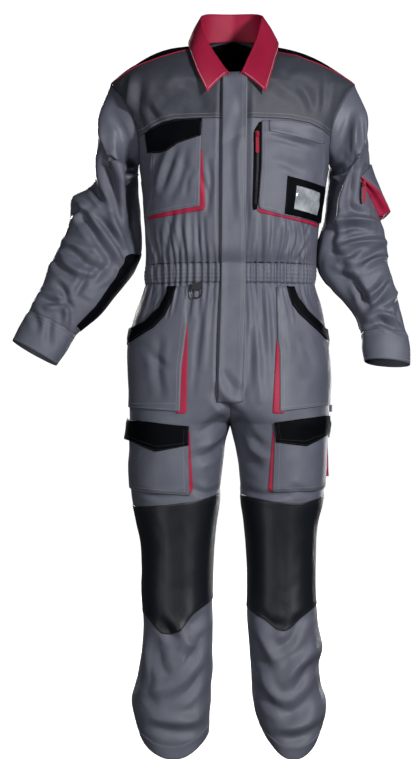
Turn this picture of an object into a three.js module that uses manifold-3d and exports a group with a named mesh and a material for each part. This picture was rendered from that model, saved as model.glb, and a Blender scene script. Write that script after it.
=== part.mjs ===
// A man's boiler suit, size M, filled out as if worn: grey twill body and sleeves, a dark red collar,
// red pocket gussets, black flaps, shoulder insets, elbow and knee panels, and an elasticated waist.
// Millimetres. +Z is up and the front faces -Y, so +X is the wearer's left.
// All tables give heights above the floor plane under the hems; the group is then lowered so that its
// origin lies between the shoulder ridges, where a wearer carries the suit.
import * as THREE from "three";
import { mergeVertices } from "three/addons/utils/BufferGeometryUtils.js";
import Module from "manifold-3d";

const wasm = await Module();
wasm.setup();

// Driving dimensions
const SHOULDER_HEIGHT = 1566; // ridge of the shoulders at the neck
const CLOTH = 1.2; // wall of one layer of twill with its seams
const SEAM = 0.3; // gap between pieces
const SLEEVE_TUCK = 2.8; // how far a sleeve is tucked in just below the armhole seam
const ARMHOLE_GAP = 0.8; // how far a sleeve's ends are drawn in
const SQUARE = 2.3; // superellipse exponent of the body and leg sections
const BAND_TOP = 1080; // waistband, upper seam
const BAND_BOTTOM = 1038; // waistband, lower seam
const GATHERS = 18; // gathers in each quarter of the waistband
const GATHER_RISE = 1.5; // height of a gather's crest over its seam line
const PLACKET_HALF = 27; // half the width of the centre-front placket
const FRONT_END = 11.4; // row where the front yoke meets the shoulder inset
const BACK_END = 11; // row where the back yoke meets the shoulder inset
const INSET_BACK = 11.5; // row halfway over the inset's back half
const UNDERARM = 5; // row of the underarm point
const RIDGE = 12; // row of the shoulder ridge
const SHOULDER_ARCH = { r: 25, l: 17 }; // rise of the shoulder line between neck and armhole

const COLOUR = { grey: 0x50545a, black: 0x15181c, red: 0x8f1f38, clear: 0xc4ccd2, plastic: 0x101012 };

const sideSign = { r: -1, l: 1 };

function table(columns, rows) {
  return Object.fromEntries(columns.map((name, i) => [name, rows.map((row) => row[i])]));
}

// Upper fronts and back: the centre edge, which turns into the neckline, and the side edge, which
// turns into the armhole above the underarm. Distances from the centre line, y and height.
const EDGE = ["centreX", "centreY", "centreZ", "sideX", "sideY", "sideZ"];
const FRONT = table(EDGE, [
  [0, -121, BAND_TOP, 185, 0, BAND_TOP],
  [0, -135, 1112, 187, -4, 1110],
  [0, -142, 1180, 193, -10, 1172],
  [0, -145, 1235, 198, -12, 1220],
  [0, -145, 1290, 203, -9, 1265],
  [0, -142, 1345, 208, -2, 1302],
  [0, -136, 1395, 206, -46, 1336],
  [0, -128, 1438, 212, -64, 1385],
  [0, -118, 1474, 232, -56, 1430],
  [16, -114, 1479, 250, -36, 1459],
  [45, -94, 1502, 261, -18, 1472],
  [68, -54, 1537, 267, -3, 1479],
  [80, 10, 1566, 270, 10, 1481],
]);
const BACK = table(EDGE, [
  [0, 111, BAND_TOP, 185, 0, BAND_TOP],
  [0, 121, 1112, 187, -4, 1110],
  [0, 126, 1180, 193, -10, 1172],
  [0, 131, 1235, 198, -12, 1220],
  [0, 135, 1290, 203, -9, 1265],
  [0, 137, 1345, 208, -2, 1302],
  [0, 137, 1400, 209, 54, 1338],
  [0, 133, 1455, 217, 74, 1388],
  [0, 124, 1505, 235, 68, 1434],
  [0, 110, 1552, 252, 50, 1461],
  [0, 90, 1590, 262, 34, 1473],
  [48, 74, 1583, 268, 21, 1479],
  [80, 10, 1566, 270, 10, 1481],
]);
const LEAN = table(["z", "x"], [
  [BAND_BOTTOM, 0], [BAND_TOP, 0], [1180, 5], [1235, 9], [1345, 9], [1480, 6], [1566, 9],
  [1660, 9],
]);

// Trousers from the waist seam to the hem. Above the crotch both legs share front, back and split:
// split 0 is half of one body section, and at 1 the sections have parted into two legs.
const TROUSER = ["z", "outerR", "innerR", "outerL", "innerL", "split", "front", "back", "tilt"];
const LEGS = table(TROUSER, [
  [BAND_BOTTOM, 185, 0, 184, 0, 0, -119, 109, 0],
  [1004, 196, 0, 194, 0, 0, -124, 115, 0],
  [970, 208, 0, 203, 0, 0, -127, 121, 0],
  [926, 220, 0, 211, 0, 0, -130, 128, 0],
  [880, 222, 0, 216, 0, 0.03, -132, 133, 0],
  [835, 221, 0, 218, 0, 0.12, -133, 135, 0],
  [795, 220, 0, 217, 0, 0.3, -133, 133, 0],
  [768, 220, 0, 217, 0, 0.56, -132, 129, 0],
  [750, 220, 0, 217, 0, 0.8, -131, 125, 0],
  [740, 220, 0, 217, 0, 0.94, -130, 122, 0],
  [733, 220, 0.4, 217, 0.4, 1, -129, 120, 0],
  [712, 218, 6, 211, 5, 1, -126, 117, 0],
  [680, 217, 12, 209, 13, 1, -122, 113, 0],
  [640, 218, 15, 208, 19, 1, -118, 108, 0],
  [600, 218, 19, 206, 21, 1, -113, 103, 0],
  [560, 213, 23, 202, 24, 1, -108, 98, 0],
  [515, 204, 30, 191, 31, 1, -103, 93, 0],
  [470, 195, 35, 187, 35, 1, -99, 89, 0],
  [420, 193, 38, 187, 38, 1, -97, 86, 0],
  [370, 194, 39, 187, 38, 1, -96, 84, 0],
  [320, 190, 39, 191, 36, 1, -97, 84, 0],
  [275, 188, 37, 197, 38, 1, -98, 85, 0],
  [240, 191, 37, 202, 42, 1, -99, 87, 0.02],
  [205, 199, 38, 194, 46, 1, -101, 89, 0.05],
  [165, 208, 41, 199, 49, 1, -103, 91, 0.1],
  [130, 216, 42, 210, 51, 1, -104, 92, 0.18],
  [95, 211, 45, 208, 58, 1, -104, 90, 0.28],
  [57, 199, 47, 194, 76, 1, -102, 86, 0.36],
]);
const HEM_CURVE = 1.7; // how the drop of the hem gathers towards its front and back
const HEM = LEGS.z.length - 1;
const CROTCH = 10;

// Sleeves below the armhole: each section's outer and inner point, its middle depth and half depth.
// The last three sections are the cuff, from its seam to its open end.
const SECTION = ["outerX", "outerZ", "innerX", "innerZ", "midY", "half"];
const SLEEVE = {
  r: table(SECTION, [
    [276, 1430, 210, 1288, 10, 79],
    [289, 1378, 201, 1262, 18, 80],
    [295, 1325, 197, 1232, 24, 79],
    [298, 1282, 193, 1204, 28, 78],
    [314, 1254, 192, 1176, 29, 76],
    [349, 1234, 191, 1142, 27, 74],
    [353, 1196, 194, 1108, 21, 71],
    [361, 1160, 203, 1085, 14, 68],
    [379, 1118, 222, 1052, 5, 64],
    [398, 1083, 250, 1015, -5, 58],
    [412, 1038, 279, 979, -14, 52],
    [428, 1006, 308, 953, -22, 46],
    [440, 979, 337, 925, -30, 40],
    [458, 946, 357, 892, -36, 38],
    [474, 915, 376, 860, -42, 36],
  ]),
  l: table(SECTION, [
    [284, 1436, 227, 1288, 10, 80],
    [297, 1378, 220, 1262, 18, 80],
    [308, 1322, 213, 1236, 24, 79],
    [314, 1270, 209.5, 1208, 28, 78],
    [322, 1225, 205.5, 1180, 28, 76],
    [331, 1185, 200, 1155, 24, 73],
    [344, 1148, 194, 1125, 17, 70],
    [348, 1110, 191, 1095, 8, 67],
    [348, 1080, 198, 1068, -3, 64],
    [358, 1045, 220, 1036, -19, 60],
    [367, 1005, 248, 1002, -31, 54],
    [375, 968, 272, 968, -43, 47],
    [383, 931, 285, 929, -56, 41],
    [388.5, 901, 287, 899, -64, 38],
    [388, 862, 290, 870, -72, 36],
  ]),
};
const CUFF_END = SLEEVE.r.outerX.length;
const WRIST = CUFF_END - 2;

// Largest folds: a soft trough from one point to another in front view, its width and depth.
// A negative depth is a ridge. face -1 is the front and 1 the back.
const FOLD = ["x0", "z0", "x1", "z1", "width", "depth", "face"];
const FOLDS = {
  sleeve_r: table(FOLD, [
    [-292, 1330, -205, 1150, 26, 13, -1],
    [-340, 1225, -215, 1110, 22, 12, -1],
    [-405, 1035, -330, 985, 20, 10, -1],
    [-285, 1330, -215, 1170, 26, 10, 1],
    [-335, 1190, -240, 1090, 24, 9, 1],
  ]),
  sleeve_l: table(FOLD, [
    [250, 1360, 232, 1215, 24, 11, -1],
    [225, 1150, 345, 1175, 20, 11, -1],
    [345, 1060, 290, 1010, 18, 9, -1],
    [255, 1340, 300, 1200, 26, 9, 1],
    [230, 1110, 330, 1140, 22, 8, 1],
  ]),
  trousers_r: table(FOLD, [
    [-70, 300, -170, 130, 26, 9, -1],
    [-60, 160, -190, 90, 24, 10, -1],
    [-60, 540, -200, 575, 20, 6, -1],
    [-70, 250, -170, 150, 30, 8, 1],
    [-80, 650, -180, 560, 34, 8, 1],
  ]),
  trousers_l: table(FOLD, [
    [180, 300, 80, 190, 26, 9, -1],
    [195, 160, 100, 100, 24, 10, -1],
    [60, 575, 200, 570, 20, 6, -1],
    [170, 260, 80, 160, 30, 8, 1],
    [80, 650, 180, 560, 34, 8, 1],
  ]),
  upper_r: table(FOLD, [[-196, 1490, -192, 1370, 14, 8, -1], [-60, 1450, -170, 1330, 34, 5, 1]]),
  upper_l: table(FOLD, [[206, 1480, 204, 1375, 14, 8, -1], [80, 1450, 180, 1330, 34, 5, 1]]),
};

// Catmull-Rom through a column of a table, at a row that need not be whole.
function through(values, row) {
  const last = values.length - 1;
  const i = Math.max(0, Math.min(Math.floor(row), last - 1));
  const f = row - i;
  const b = values[i];
  const c = values[i + 1];
  const a = i > 0 ? values[i - 1] : 2 * b - c;
  const d = i + 2 <= last ? values[i + 2] : 2 * c - b;
  return 0.5 * (2 * b + (c - a) * f + (2 * a - 5 * b + 4 * c - d) * f * f + (3 * b - a - 3 * c + d) * f ** 3);
}

function lookUp(list, key, value, at) {
  const keys = list[key];
  let i = 0;
  while (i < keys.length - 2 && at > keys[i + 1]) i += 1;
  const share = Math.min(1, Math.max(0, (at - keys[i]) / (keys[i + 1] - keys[i])));
  return list[value][i] + (list[value][i + 1] - list[value][i]) * share;
}

const lean = (z) => lookUp(LEAN, "z", "x", z);
const rest = (share) => Math.pow(Math.max(0, 1 - Math.pow(Math.abs(share), SQUARE)), 1 / SQUARE);
const smooth = (t) => t * t * (3 - 2 * t);
const clamp01 = (t) => Math.min(1, Math.max(0, t));

// A point of the upper body: share is 0 at the centre line and 1 at the side or armhole.
function upperAt(side, rows, share, row) {
  const deep = rest(share);
  const cx = through(rows.centreX, row);
  const cy = through(rows.centreY, row);
  const cz = through(rows.centreZ, row);
  const sx = through(rows.sideX, row);
  const sy = through(rows.sideY, row);
  const sz = through(rows.sideZ, row);
  const arch = SHOULDER_ARCH[side] * smooth(clamp01((row - 7) / 5)) * Math.sin(Math.PI * Math.min(1, share));
  const z = cz + (sz - cz) * share + arch;
  return new THREE.Vector3(sideSign[side] * (cx + (sx - cx) * share) + lean(z), sy + (cy - sy) * deep, z);
}

const upper = (side, rows) => (u, row) => upperAt(side, rows, Math.sin((u * Math.PI) / 2), row);

// A point of one trouser leg: u runs from the centre front or inseam, round the side at 0.5, to the
// centre back or inseam.
function leg(side) {
  const outer = side === "r" ? LEGS.outerR : LEGS.outerL;
  const inner = side === "r" ? LEGS.innerR : LEGS.innerL;
  return (u, row) => {
    const section = legSection(outer, inner, row);
    const widest = Math.PI / 2 + Math.asin(Math.min(1, section.split));
    const angle = (2 * u - 1) * widest;
    const across = Math.cos(angle);
    const share = across < 0 && section.split > 0 ? across : Math.max(0, across);
    const y = section.midY + Math.sign(angle) * section.depth * rest(share);
    const x = section.centre + section.half * share;
    const drop = section.tilt * y * Math.pow(Math.abs(y) / section.depth, HEM_CURVE);
    return new THREE.Vector3(sideSign[side] * x, y, section.z + drop);
  };
}

function legSection(outer, inner, row) {
  const split = Math.min(1, Math.max(0, through(LEGS.split, row)));
  const out = through(outer, row);
  const gap = Math.max(0, through(inner, row));
  const half = (out - gap) / (1 + split);
  const front = through(LEGS.front, row);
  const back = through(LEGS.back, row);
  return {
    split,
    half,
    centre: out - half,
    midY: (front + back) / 2,
    depth: (back - front) / 2,
    z: through(LEGS.z, row),
    tilt: Math.max(0, through(LEGS.tilt, row)),
  };
}

function ringOf(sections, k, turn, sign) {
  const at = (name, i) => sections[name][Math.max(0, Math.min(sections.outerX.length - 1, i))];
  const half = (a, b) => (a + b) / 2;
  const centre = (i) => {
    const x = half(at("outerX", i), at("innerX", i));
    return new THREE.Vector3(x, at("midY", i), half(at("outerZ", i), at("innerZ", i)));
  };
  const rise = half(at("outerZ", k), -at("innerZ", k));
  const out = new THREE.Vector3(half(at("outerX", k), -at("innerX", k)), 0, rise);
  const along = centre(k + 1).sub(centre(k - 1));
  const forward = new THREE.Vector3().crossVectors(along, out).normalize();
  if (forward.y > 0) forward.negate();
  const p = centre(k).addScaledVector(out, -Math.cos(turn));
  p.addScaledVector(forward, at("half", k) * Math.sin(turn));
  p.x *= sign;
  return p;
}

// The armhole, from the underarm over the front, shoulder and back: turn runs from 0 to a full turn.
function armhole(side, turn) {
  const share = turn / Math.PI;
  return share <= 1
    ? upper(side, FRONT)(1, UNDERARM + (RIDGE - UNDERARM) * share)
    : upper(side, BACK)(1, RIDGE - (RIDGE - UNDERARM) * (share - 1));
}

// A sleeve: u is the turn round it, 0 at the underarm, 0.25 front, 0.5 outside, 0.75 back.
function sleeve(side) {
  const sections = SLEEVE[side];
  const ring = (k, turn) =>
    k <= 0 ? armhole(side, turn) : ringOf(sections, Math.min(k, CUFF_END) - 1, turn, sideSign[side]);
  return (u, row) => {
    const turn = (u - Math.floor(u)) * 2 * Math.PI;
    const i = Math.max(0, Math.min(CUFF_END - 1, Math.floor(row)));
    const near = [-1, 0, 1, 2].map((step) => ring(i + step, turn));
    const axis = (name) => throughFour(near.map((p) => p[name]), row - i, i === 0, i === CUFF_END - 1);
    return new THREE.Vector3(axis("x"), axis("y"), axis("z"));
  };
}

function throughFour([a, b, c, d], f, first, last) {
  const before = first ? 2 * b - c : a;
  const after = last ? 2 * c - b : d;
  const square = 2 * before - 5 * b + 4 * c - after;
  const cubic = 3 * b - before - 3 * c + after;
  return 0.5 * (2 * b + (c - before) * f + square * f ** 2 + cubic * f ** 3);
}

// Outward normal of a surface at (u, row) by differences that stay inside its limits.
function normalOf(surface, u, row, limits, inside) {
  const du = 0.01;
  const dr = 0.05;
  const [u0, u1, r0, r1] = limits;
  const alongU = surface(Math.min(u + du, u1), row).sub(surface(Math.max(u - du, u0), row));
  const alongRow = surface(u, Math.min(row + dr, r1)).sub(surface(u, Math.max(row - dr, r0)));
  const n = alongU.cross(alongRow).normalize();
  const p = surface(u, row);
  if (n.dot(p.clone().sub(inside(p))) < 0) n.negate();
  return n;
}

const bodyAxis = (p) => new THREE.Vector3(lean(p.z), 0, Math.min(p.z, 1400));
const legAxis = (side) => (p) => new THREE.Vector3(sideSign[side] * (p.z > 760 ? 60 : 115), 0, p.z);

// How far a fold moves a point out (less than 0 is in), from its place in front view.
function foldDepth(folds, p, n) {
  let out = 0;
  for (let i = 0; i < folds.x0.length; i += 1) {
    const facing = clamp01(n.y * folds.face[i] * 2.2);
    if (facing <= 0) continue;
    const dx = folds.x1[i] - folds.x0[i];
    const dz = folds.z1[i] - folds.z0[i];
    const t = clamp01(((p.x - folds.x0[i]) * dx + (p.z - folds.z0[i]) * dz) / (dx * dx + dz * dz));
    const away = Math.hypot(p.x - folds.x0[i] - t * dx, p.z - folds.z0[i] - t * dz);
    const taper = Math.sqrt(Math.sin(Math.PI * clamp01(0.06 + 0.88 * t)));
    out -= folds.depth[i] * facing * taper * Math.exp(-((away / folds.width[i]) ** 2));
  }
  return out;
}

function steps(from, to, count) {
  return Array.from({ length: count + 1 }, (_, i) => from + ((to - from) * i) / count);
}

// A grid of points with outward normals: rows of columns. Folds leave the points on a seam alone.
function gridOf(surface, us, rows, normal, folds, onSeam = () => false) {
  return rows.map((row) =>
    us.map((u) => {
      const n = normal(u, row);
      const p = surface(u, row);
      if (folds && !onSeam(u, row)) p.addScaledVector(n, foldDepth(folds, p, n));
      return { p, n };
    }),
  );
}

// Draws the edges of a grid in, so that neighbours stay apart at the seams.
function drawIn(grid, { first = true, last = true, left = true, right = true, by = SEAM / 2 } = {}) {
  const copy = grid.map((line) => line.map(({ p, n }) => ({ p: p.clone(), n })));
  const pull = (at, to) => at.p.addScaledVector(to.p.clone().sub(at.p).normalize(), by);
  const end = grid.length - 1;
  const side = grid[0].length - 1;
  grid[0].forEach((_, j) => {
    if (first) pull(copy[0][j], grid[1][j]);
    if (last) pull(copy[end][j], grid[end - 1][j]);
  });
  grid.forEach((_, i) => {
    if (left) pull(copy[i][0], grid[i][1]);
    if (right) pull(copy[i][side], grid[i][side - 1]);
  });
  return copy;
}

// A closed wall between two offsets of one or more grids that share their common points. ring joins the
// last column to the first. Both layers split their quads along the same diagonal, so walls on one grid
// lie parallel, and the end faces of neighbours at a seam are split alike.
function wall(grids, outer, inner, ring = false) {
  const spots = new Map();
  const position = [[], []];
  const faces = [];
  const spotOf = ({ p, n }, i, j) => {
    const key = [p.x, p.y, p.z].map((v) => Math.round(v * 1000)).join();
    if (!spots.has(key)) {
      spots.set(key, spots.size);
      [outer, inner].forEach((offset, layer) => {
        const by = typeof offset === "function" ? offset(i, j) : offset;
        position[layer].push(p.x + n.x * by, p.y + n.y * by, p.z + n.z * by);
      });
    }
    return spots.get(key);
  };
  (Array.isArray(grids[0][0]) ? grids : [grids]).forEach((grid) => {
    const at = grid.map((line, i) => line.map((spot, j) => spotOf(spot, i, j)));
    const columns = at[0].length;
    for (let i = 0; i < at.length - 1; i += 1)
      for (let j = 0; j < (ring ? columns : columns - 1); j += 1) {
        const next = (j + 1) % columns;
        faces.push([at[i][j], at[i][next], at[i + 1][next]], [at[i][j], at[i + 1][next], at[i + 1][j]]);
      }
  });
  const count = spots.size;
  const height = (k) => position[0][3 * k + 2] + 1e-3 * position[0][3 * k];
  const edges = new Set(faces.flatMap(([a, b, c]) => [[a, b], [b, c], [c, a]].map(String)));
  const index = faces.flatMap(([a, b, c]) => [a, b, c, count + c, count + b, count + a]);
  edges.forEach((edge) => {
    const [a, b] = edge.split(",").map(Number);
    if (edges.has(String([b, a]))) return;
    if (height(a) < height(b)) index.push(b, a, count + b, a, count + a, count + b);
    else index.push(b, a, count + a, b, count + a, count + b);
  });
  return facingOut(position.flat(), index);
}

function facingOut(position, index) {
  const geometry = new THREE.BufferGeometry();
  geometry.setAttribute("position", new THREE.Float32BufferAttribute(position, 3));
  let volume = 0;
  const corner = (k) => new THREE.Vector3().fromArray(position, index[k] * 3);
  for (let k = 0; k < index.length; k += 3) volume += corner(k).dot(corner(k + 1).cross(corner(k + 2)));
  if (volume < 0) for (let k = 0; k < index.length; k += 3) [index[k], index[k + 1]] = [index[k + 1], index[k]];
  geometry.setIndex(index);
  return geometry;
}

function solid(geometry) {
  const bare = geometry.clone();
  bare.deleteAttribute("normal");
  bare.deleteAttribute("uv");
  const merged = mergeVertices(bare, 1e-4);
  return new wasm.Manifold(
    new wasm.Mesh({
      numProp: 3,
      vertProperties: new Float32Array(merged.attributes.position.array),
      triVerts: new Uint32Array(merged.index.array),
    }),
  );
}

// The largest body of a solid, as a geometry: a cut can leave slivers beside it.
function geometryOf(made) {
  const whole = made.decompose().sort((a, b) => b.volume() - a.volume())[0];
  const mesh = whole.getMesh();
  const geometry = new THREE.BufferGeometry();
  const position = new Float32Array(mesh.numVert * 3);
  for (let i = 0; i < mesh.numVert; i += 1)
    position.set(mesh.vertProperties.subarray(i * mesh.numProp, i * mesh.numProp + 3), i * 3);
  geometry.setAttribute("position", new THREE.BufferAttribute(position, 3));
  geometry.setIndex(new THREE.BufferAttribute(mesh.triVerts, 1));
  return geometry;
}

// A flat shape. An outline with a hole runs counter-clockwise, and its hole clockwise.
function shapeOf(outline, hole) {
  const shape = new THREE.Shape(outline.map(([x, y]) => new THREE.Vector2(x, y)));
  if (hole) shape.holes.push(new THREE.Path(hole.map(([x, y]) => new THREE.Vector2(x, y))));
  return shape;
}

// A prism with an outline drawn in front view, reaching from one depth to another.
function frontPrism(outline, near = -400, far = 0) {
  const prism = new THREE.ExtrudeGeometry(shapeOf(outline), { depth: far - near, bevelEnabled: false });
  prism.rotateX(Math.PI / 2);
  prism.translate(0, far, 0);
  return solid(prism);
}

const cut = (geometry, outline, near, far) =>
  geometryOf(solid(geometry).intersect(frontPrism(outline, near, far)));

const group = new THREE.Group();

function add(name, geometry, colour, roughness = 0.85, metalness = 0) {
  const material = new THREE.MeshStandardMaterial({ color: colour, roughness, metalness });
  const mesh = new THREE.Mesh(geometry, material);
  mesh.name = name;
  group.add(mesh);
  return mesh;
}

const bothSides = ["r", "l"];

function sleeveNormal(side, u, row) {
  const surface = sleeve(side);
  const middle = new THREE.Vector3();
  [0, 0.25, 0.5, 0.75].forEach((turn) => middle.add(surface(turn, Math.max(row, 0.3))));
  middle.multiplyScalar(0.25);
  return normalOf(surface, u, row, [-1, 2, 0, CUFF_END], () => middle);
}

// Upper body
const ACROSS = steps(0, 1, 8);
const turnOfRow = (row) => (row - UNDERARM) / (RIDGE - UNDERARM) / 2;

// At a seam the normal is the mean of the panels that meet there, so that their walls are mitred.
const bodyNormal = (side, rows) => (u, row) => {
  const shared = row === RIDGE || (u === 1 && row <= UNDERARM);
  const n = new THREE.Vector3();
  (shared ? [FRONT, BACK] : [rows]).forEach((face) =>
    n.add(normalOf(upper(side, face), u, row, [0, 1, 0, RIDGE], bodyAxis)),
  );
  n.normalize();
  if (u === 0 && row <= 9) n.x = 0;
  if (u === 1 && row >= UNDERARM) {
    const turn = turnOfRow(row);
    n.add(sleeveNormal(side, rows === FRONT ? turn : 1 - turn, 0));
  }
  return n.normalize();
};

const onArmhole = (u, row) => u === 1 && row >= UNDERARM;
const bodyGrid = (side, rows, from, to, folds) =>
  gridOf(upper(side, rows), ACROSS, rowsBetween(from, to), bodyNormal(side, rows), folds, onArmhole);

function rowsBetween(from, to) {
  const whole = steps(Math.ceil(from), Math.floor(to), Math.floor(to) - Math.ceil(from));
  return [...new Set([from, ...whole, to])];
}

// The front yoke seam in front view, from the armhole to the centre.
const YOKE_SEAM = [
  [-400, 1340], [-196, 1356], [-181, 1362], [-168, 1371], [-149, 1380], [-117, 1386], [34, 1388],
  [128, 1386], [170, 1379], [196, 1368], [212, 1358], [400, 1340],
];
const closed = (line, by, level) => [
  ...line.map(([x, z]) => [x, z + by]),
  [line.at(-1)[0], level],
  [line[0][0], level],
];
const above = (line, by, top) => closed(line, by, top);
const below = (line, by, bottom) => closed(line, -by, bottom);

const frontGrid = {};
bothSides.forEach((side) => {
  frontGrid[side] = drawIn(bodyGrid(side, FRONT, 0, FRONT_END, FOLDS["upper_" + side]));
  const front = wall(frontGrid[side], 0, -CLOTH);
  add("front_yoke_" + side, cut(front, above(YOKE_SEAM, SEAM / 2, 1700), -400, 200), COLOUR.grey);
  add("front_chest_" + side, cut(front, below(YOKE_SEAM, SEAM / 2, 1000), -400, 200), COLOUR.grey);
});

// Back panels: one grid from side to side, so there is no seam down the middle.
function acrossBack(from, to) {
  const right = bodyGrid("r", BACK, from, to, FOLDS.upper_r);
  const left = bodyGrid("l", BACK, from, to, FOLDS.upper_l);
  return right.map((line, i) => [...line.slice().reverse(), ...left[i].slice(1)]);
}
const BACK_SEAM = [[-400, 1392], [-215, 1400], [9, 1412], [230, 1400], [400, 1392]];
const arm = (side) => drawIn(bodyGrid(side, BACK, 10, BACK_END), { first: false, left: false });
const wholeBack = wall(
  [drawIn(acrossBack(0, 10), { last: false }), arm("r").map((line) => line.slice().reverse()), arm("l")],
  0,
  -CLOTH,
);
add("back_yoke", cut(wholeBack, above(BACK_SEAM, SEAM / 2, 1700), -200, 400), COLOUR.grey);
add("back_panel", cut(wholeBack, below(BACK_SEAM, SEAM / 2, 1000), -200, 400), COLOUR.grey);
bothSides.forEach((side) => {
  const insetRows = [
    ...gridOf(upper(side, FRONT), ACROSS, [FRONT_END, RIDGE], bodyNormal(side, FRONT)),
    ...gridOf(upper(side, BACK), ACROSS, [INSET_BACK, BACK_END], bodyNormal(side, BACK)),
  ];
  add("shoulder_inset_" + side, wall(drawIn(insetRows, { by: SEAM }), 0, -CLOTH), COLOUR.black);
});

// Waistband: gathers are raised in the outer points over a plain inside.
function bandGrid(side, rows, from = 0) {
  const top = upper(side, rows);
  const bottom = leg(side);
  const columns = steps(from, 1, GATHERS * 2);
  return [0, 0.5, 1].map((t) =>
    columns.map((u) => {
      const half = rows === FRONT ? u / 2 : 1 - u / 2;
      const p = top(u, 0).lerp(bottom(half, 0), t);
      const n = bodyNormal(side, rows)(u, 0);
      n.z = 0;
      return { p, n: n.normalize() };
    }),
  );
}
const crest = (i, j) => (j % 2 ? GATHER_RISE : -0.4);
const BAND_INSIDE = -CLOTH - 0.8;
bothSides.forEach((side) =>
  add("waistband_front_" + side, wall(drawIn(bandGrid(side, FRONT)), crest, BAND_INSIDE), COLOUR.grey),
);
const bandLeft = bandGrid("l", BACK);
const bandBack = bandGrid("r", BACK).map((line, i) => [...line.slice().reverse(), ...bandLeft[i].slice(1)]);
add("waistband_back", wall(drawIn(bandBack), crest, BAND_INSIDE), COLOUR.grey);

// Trousers
const legNormal = (side) => (u, row) => {
  const n = normalOf(leg(side), u, row, [0, 1, 0, HEM], legAxis(side));
  const onMiddle = (u === 0 || u === 1) && row <= CROTCH;
  if (onMiddle) n.x = 0;
  if ((u === 0 || u === 1) && row > CROTCH) n.set(-sideSign[side], 0, n.z * 0.3);
  return n.normalize();
};
const LEG_ROWS = steps(0, HEM, HEM);
const FRONT_HALF = steps(0, 0.5, 8);
const BACK_HALF = steps(0.5, 1, 7);
const legFront = {};
bothSides.forEach((side) => {
  const folds = FOLDS["trousers_" + side];
  legFront[side] = drawIn(gridOf(leg(side), FRONT_HALF, LEG_ROWS, legNormal(side), folds));
  const back = drawIn(gridOf(leg(side), BACK_HALF, LEG_ROWS, legNormal(side), folds));
  add("leg_front_" + side, wall(legFront[side], 0, -CLOTH), COLOUR.grey);
  add("leg_back_" + side, wall(back, 0, -CLOTH), COLOUR.grey);
});

// Sleeves, elbow patches and cuffs
const ROUND = [
  ...[5, 6, 7, 8, 9, 10, 11, FRONT_END, 12].map(turnOfRow),
  ...[INSET_BACK, 11, 10, 9, 8, 7, 6].map((row) => 1 - turnOfRow(row)),
];
const SLEEVE_ROWS = [0, 0.5, ...steps(1, WRIST, WRIST - 1)];
const PATCH = { firstColumn: 9, lastColumn: 16, firstRow: 7, lastRow: 14 };
const sleeveGrid = {};
bothSides.forEach((side) => {
  const normal = (u, row) => {
    if (row > 0) return sleeveNormal(side, u, row);
    return u <= 0.5
      ? bodyNormal(side, FRONT)(1, UNDERARM + (RIDGE - UNDERARM) * 2 * u)
      : bodyNormal(side, BACK)(1, UNDERARM + (RIDGE - UNDERARM) * (2 - 2 * u));
  };
  const atEnds = (u, row) => row === 0 || row === WRIST;
  const grid = gridOf(sleeve(side), ROUND, SLEEVE_ROWS, normal, FOLDS["sleeve_" + side], atEnds);
  grid[1].forEach(({ p, n }) => p.addScaledVector(n, -SLEEVE_TUCK));
  sleeveGrid[side] = drawIn(grid, { left: false, right: false, by: ARMHOLE_GAP });
  add("sleeve_" + side, wall(sleeveGrid[side], 0, -CLOTH, true), COLOUR.grey);
  const patch = sleeveGrid[side]
    .slice(PATCH.firstRow, PATCH.lastRow)
    .map((line) => line.slice(PATCH.firstColumn, PATCH.lastColumn));
  add("elbow_patch_" + side, wall(patch, SEAM + CLOTH, SEAM), COLOUR.black);

  const cuff = gridOf(sleeve(side), ROUND, [WRIST, WRIST + 1, CUFF_END], normal);
  add("cuff_" + side, wall(drawIn(cuff, { left: false, right: false }), 0, -CLOTH - 0.8, true), COLOUR.grey);
});

// Collar: stand and leaf in one folded sheet, from its front ends to the centre back. The neck seam, the
// fold and the leaf's edge are given by half widths about a middle.
const NECK = ["neckX", "neckY", "neckZ", "foldX", "foldC", "foldY", "foldZ", "edgeX", "edgeC", "edgeY", "edgeZ"];
const COLLAR = table(NECK, [
  [11, -116, 1477.5, 12.8, 9.4, -118, 1485, 62, 12.3, -137, 1441],
  [28, -106, 1491, 21.5, 7.5, -105, 1500, 69.5, 10.5, -132, 1463],
  [45, -93, 1505, 31, 5.5, -90, 1519, 78.5, 8.6, -121, 1486],
  [60, -70, 1528, 46, 3.5, -66, 1549, 87, 8, -97, 1514],
  [72, -38, 1547, 58.8, 1.8, -36, 1583, 95, 7.7, -57, 1544],
  [80, 10, 1567, 65, 4.5, 8, 1624, 99, 7.7, 12, 1573],
  [76, 42, 1575, 61, 4.9, 46, 1638, 95, 8, 64, 1579],
  [50, 73, 1584, 42, 6.5, 73, 1645, 64, 8.6, 101, 1581],
  [0, 90, 1591, 0, 8, 87, 1647, 0, 9, 112, 1580],
]);
const COLLAR_END = COLLAR.neckX.length - 1;
const TURN = 2.6; // radius of the collar's fold

function collarLine(row, sign) {
  const at = (name) => through(COLLAR[name], row);
  const place = (x, middle, y, z) => new THREE.Vector3(sign * x + middle, y, z);
  const neck = place(at("neckX"), lean(SHOULDER_HEIGHT), at("neckY"), at("neckZ") + 0.7);
  const fold = place(at("foldX"), at("foldC"), at("foldY"), at("foldZ"));
  const edge = place(at("edgeX"), at("edgeC"), at("edgeY"), at("edgeZ"));
  const out = new THREE.Vector3(edge.x - neck.x, edge.y - neck.y, 0).normalize();
  const up = new THREE.Vector3(0, 0, 1);
  const outside = fold.clone().addScaledVector(out, 2 * TURN);
  return [
    neck,
    neck.clone().lerp(fold, 0.5),
    fold,
    fold.clone().addScaledVector(out, TURN).addScaledVector(up, TURN),
    outside,
    outside.clone().lerp(edge, 0.35).addScaledVector(out, 2.5),
    outside.clone().lerp(edge, 0.7).addScaledVector(out, 2),
    edge,
  ];
}

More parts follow.
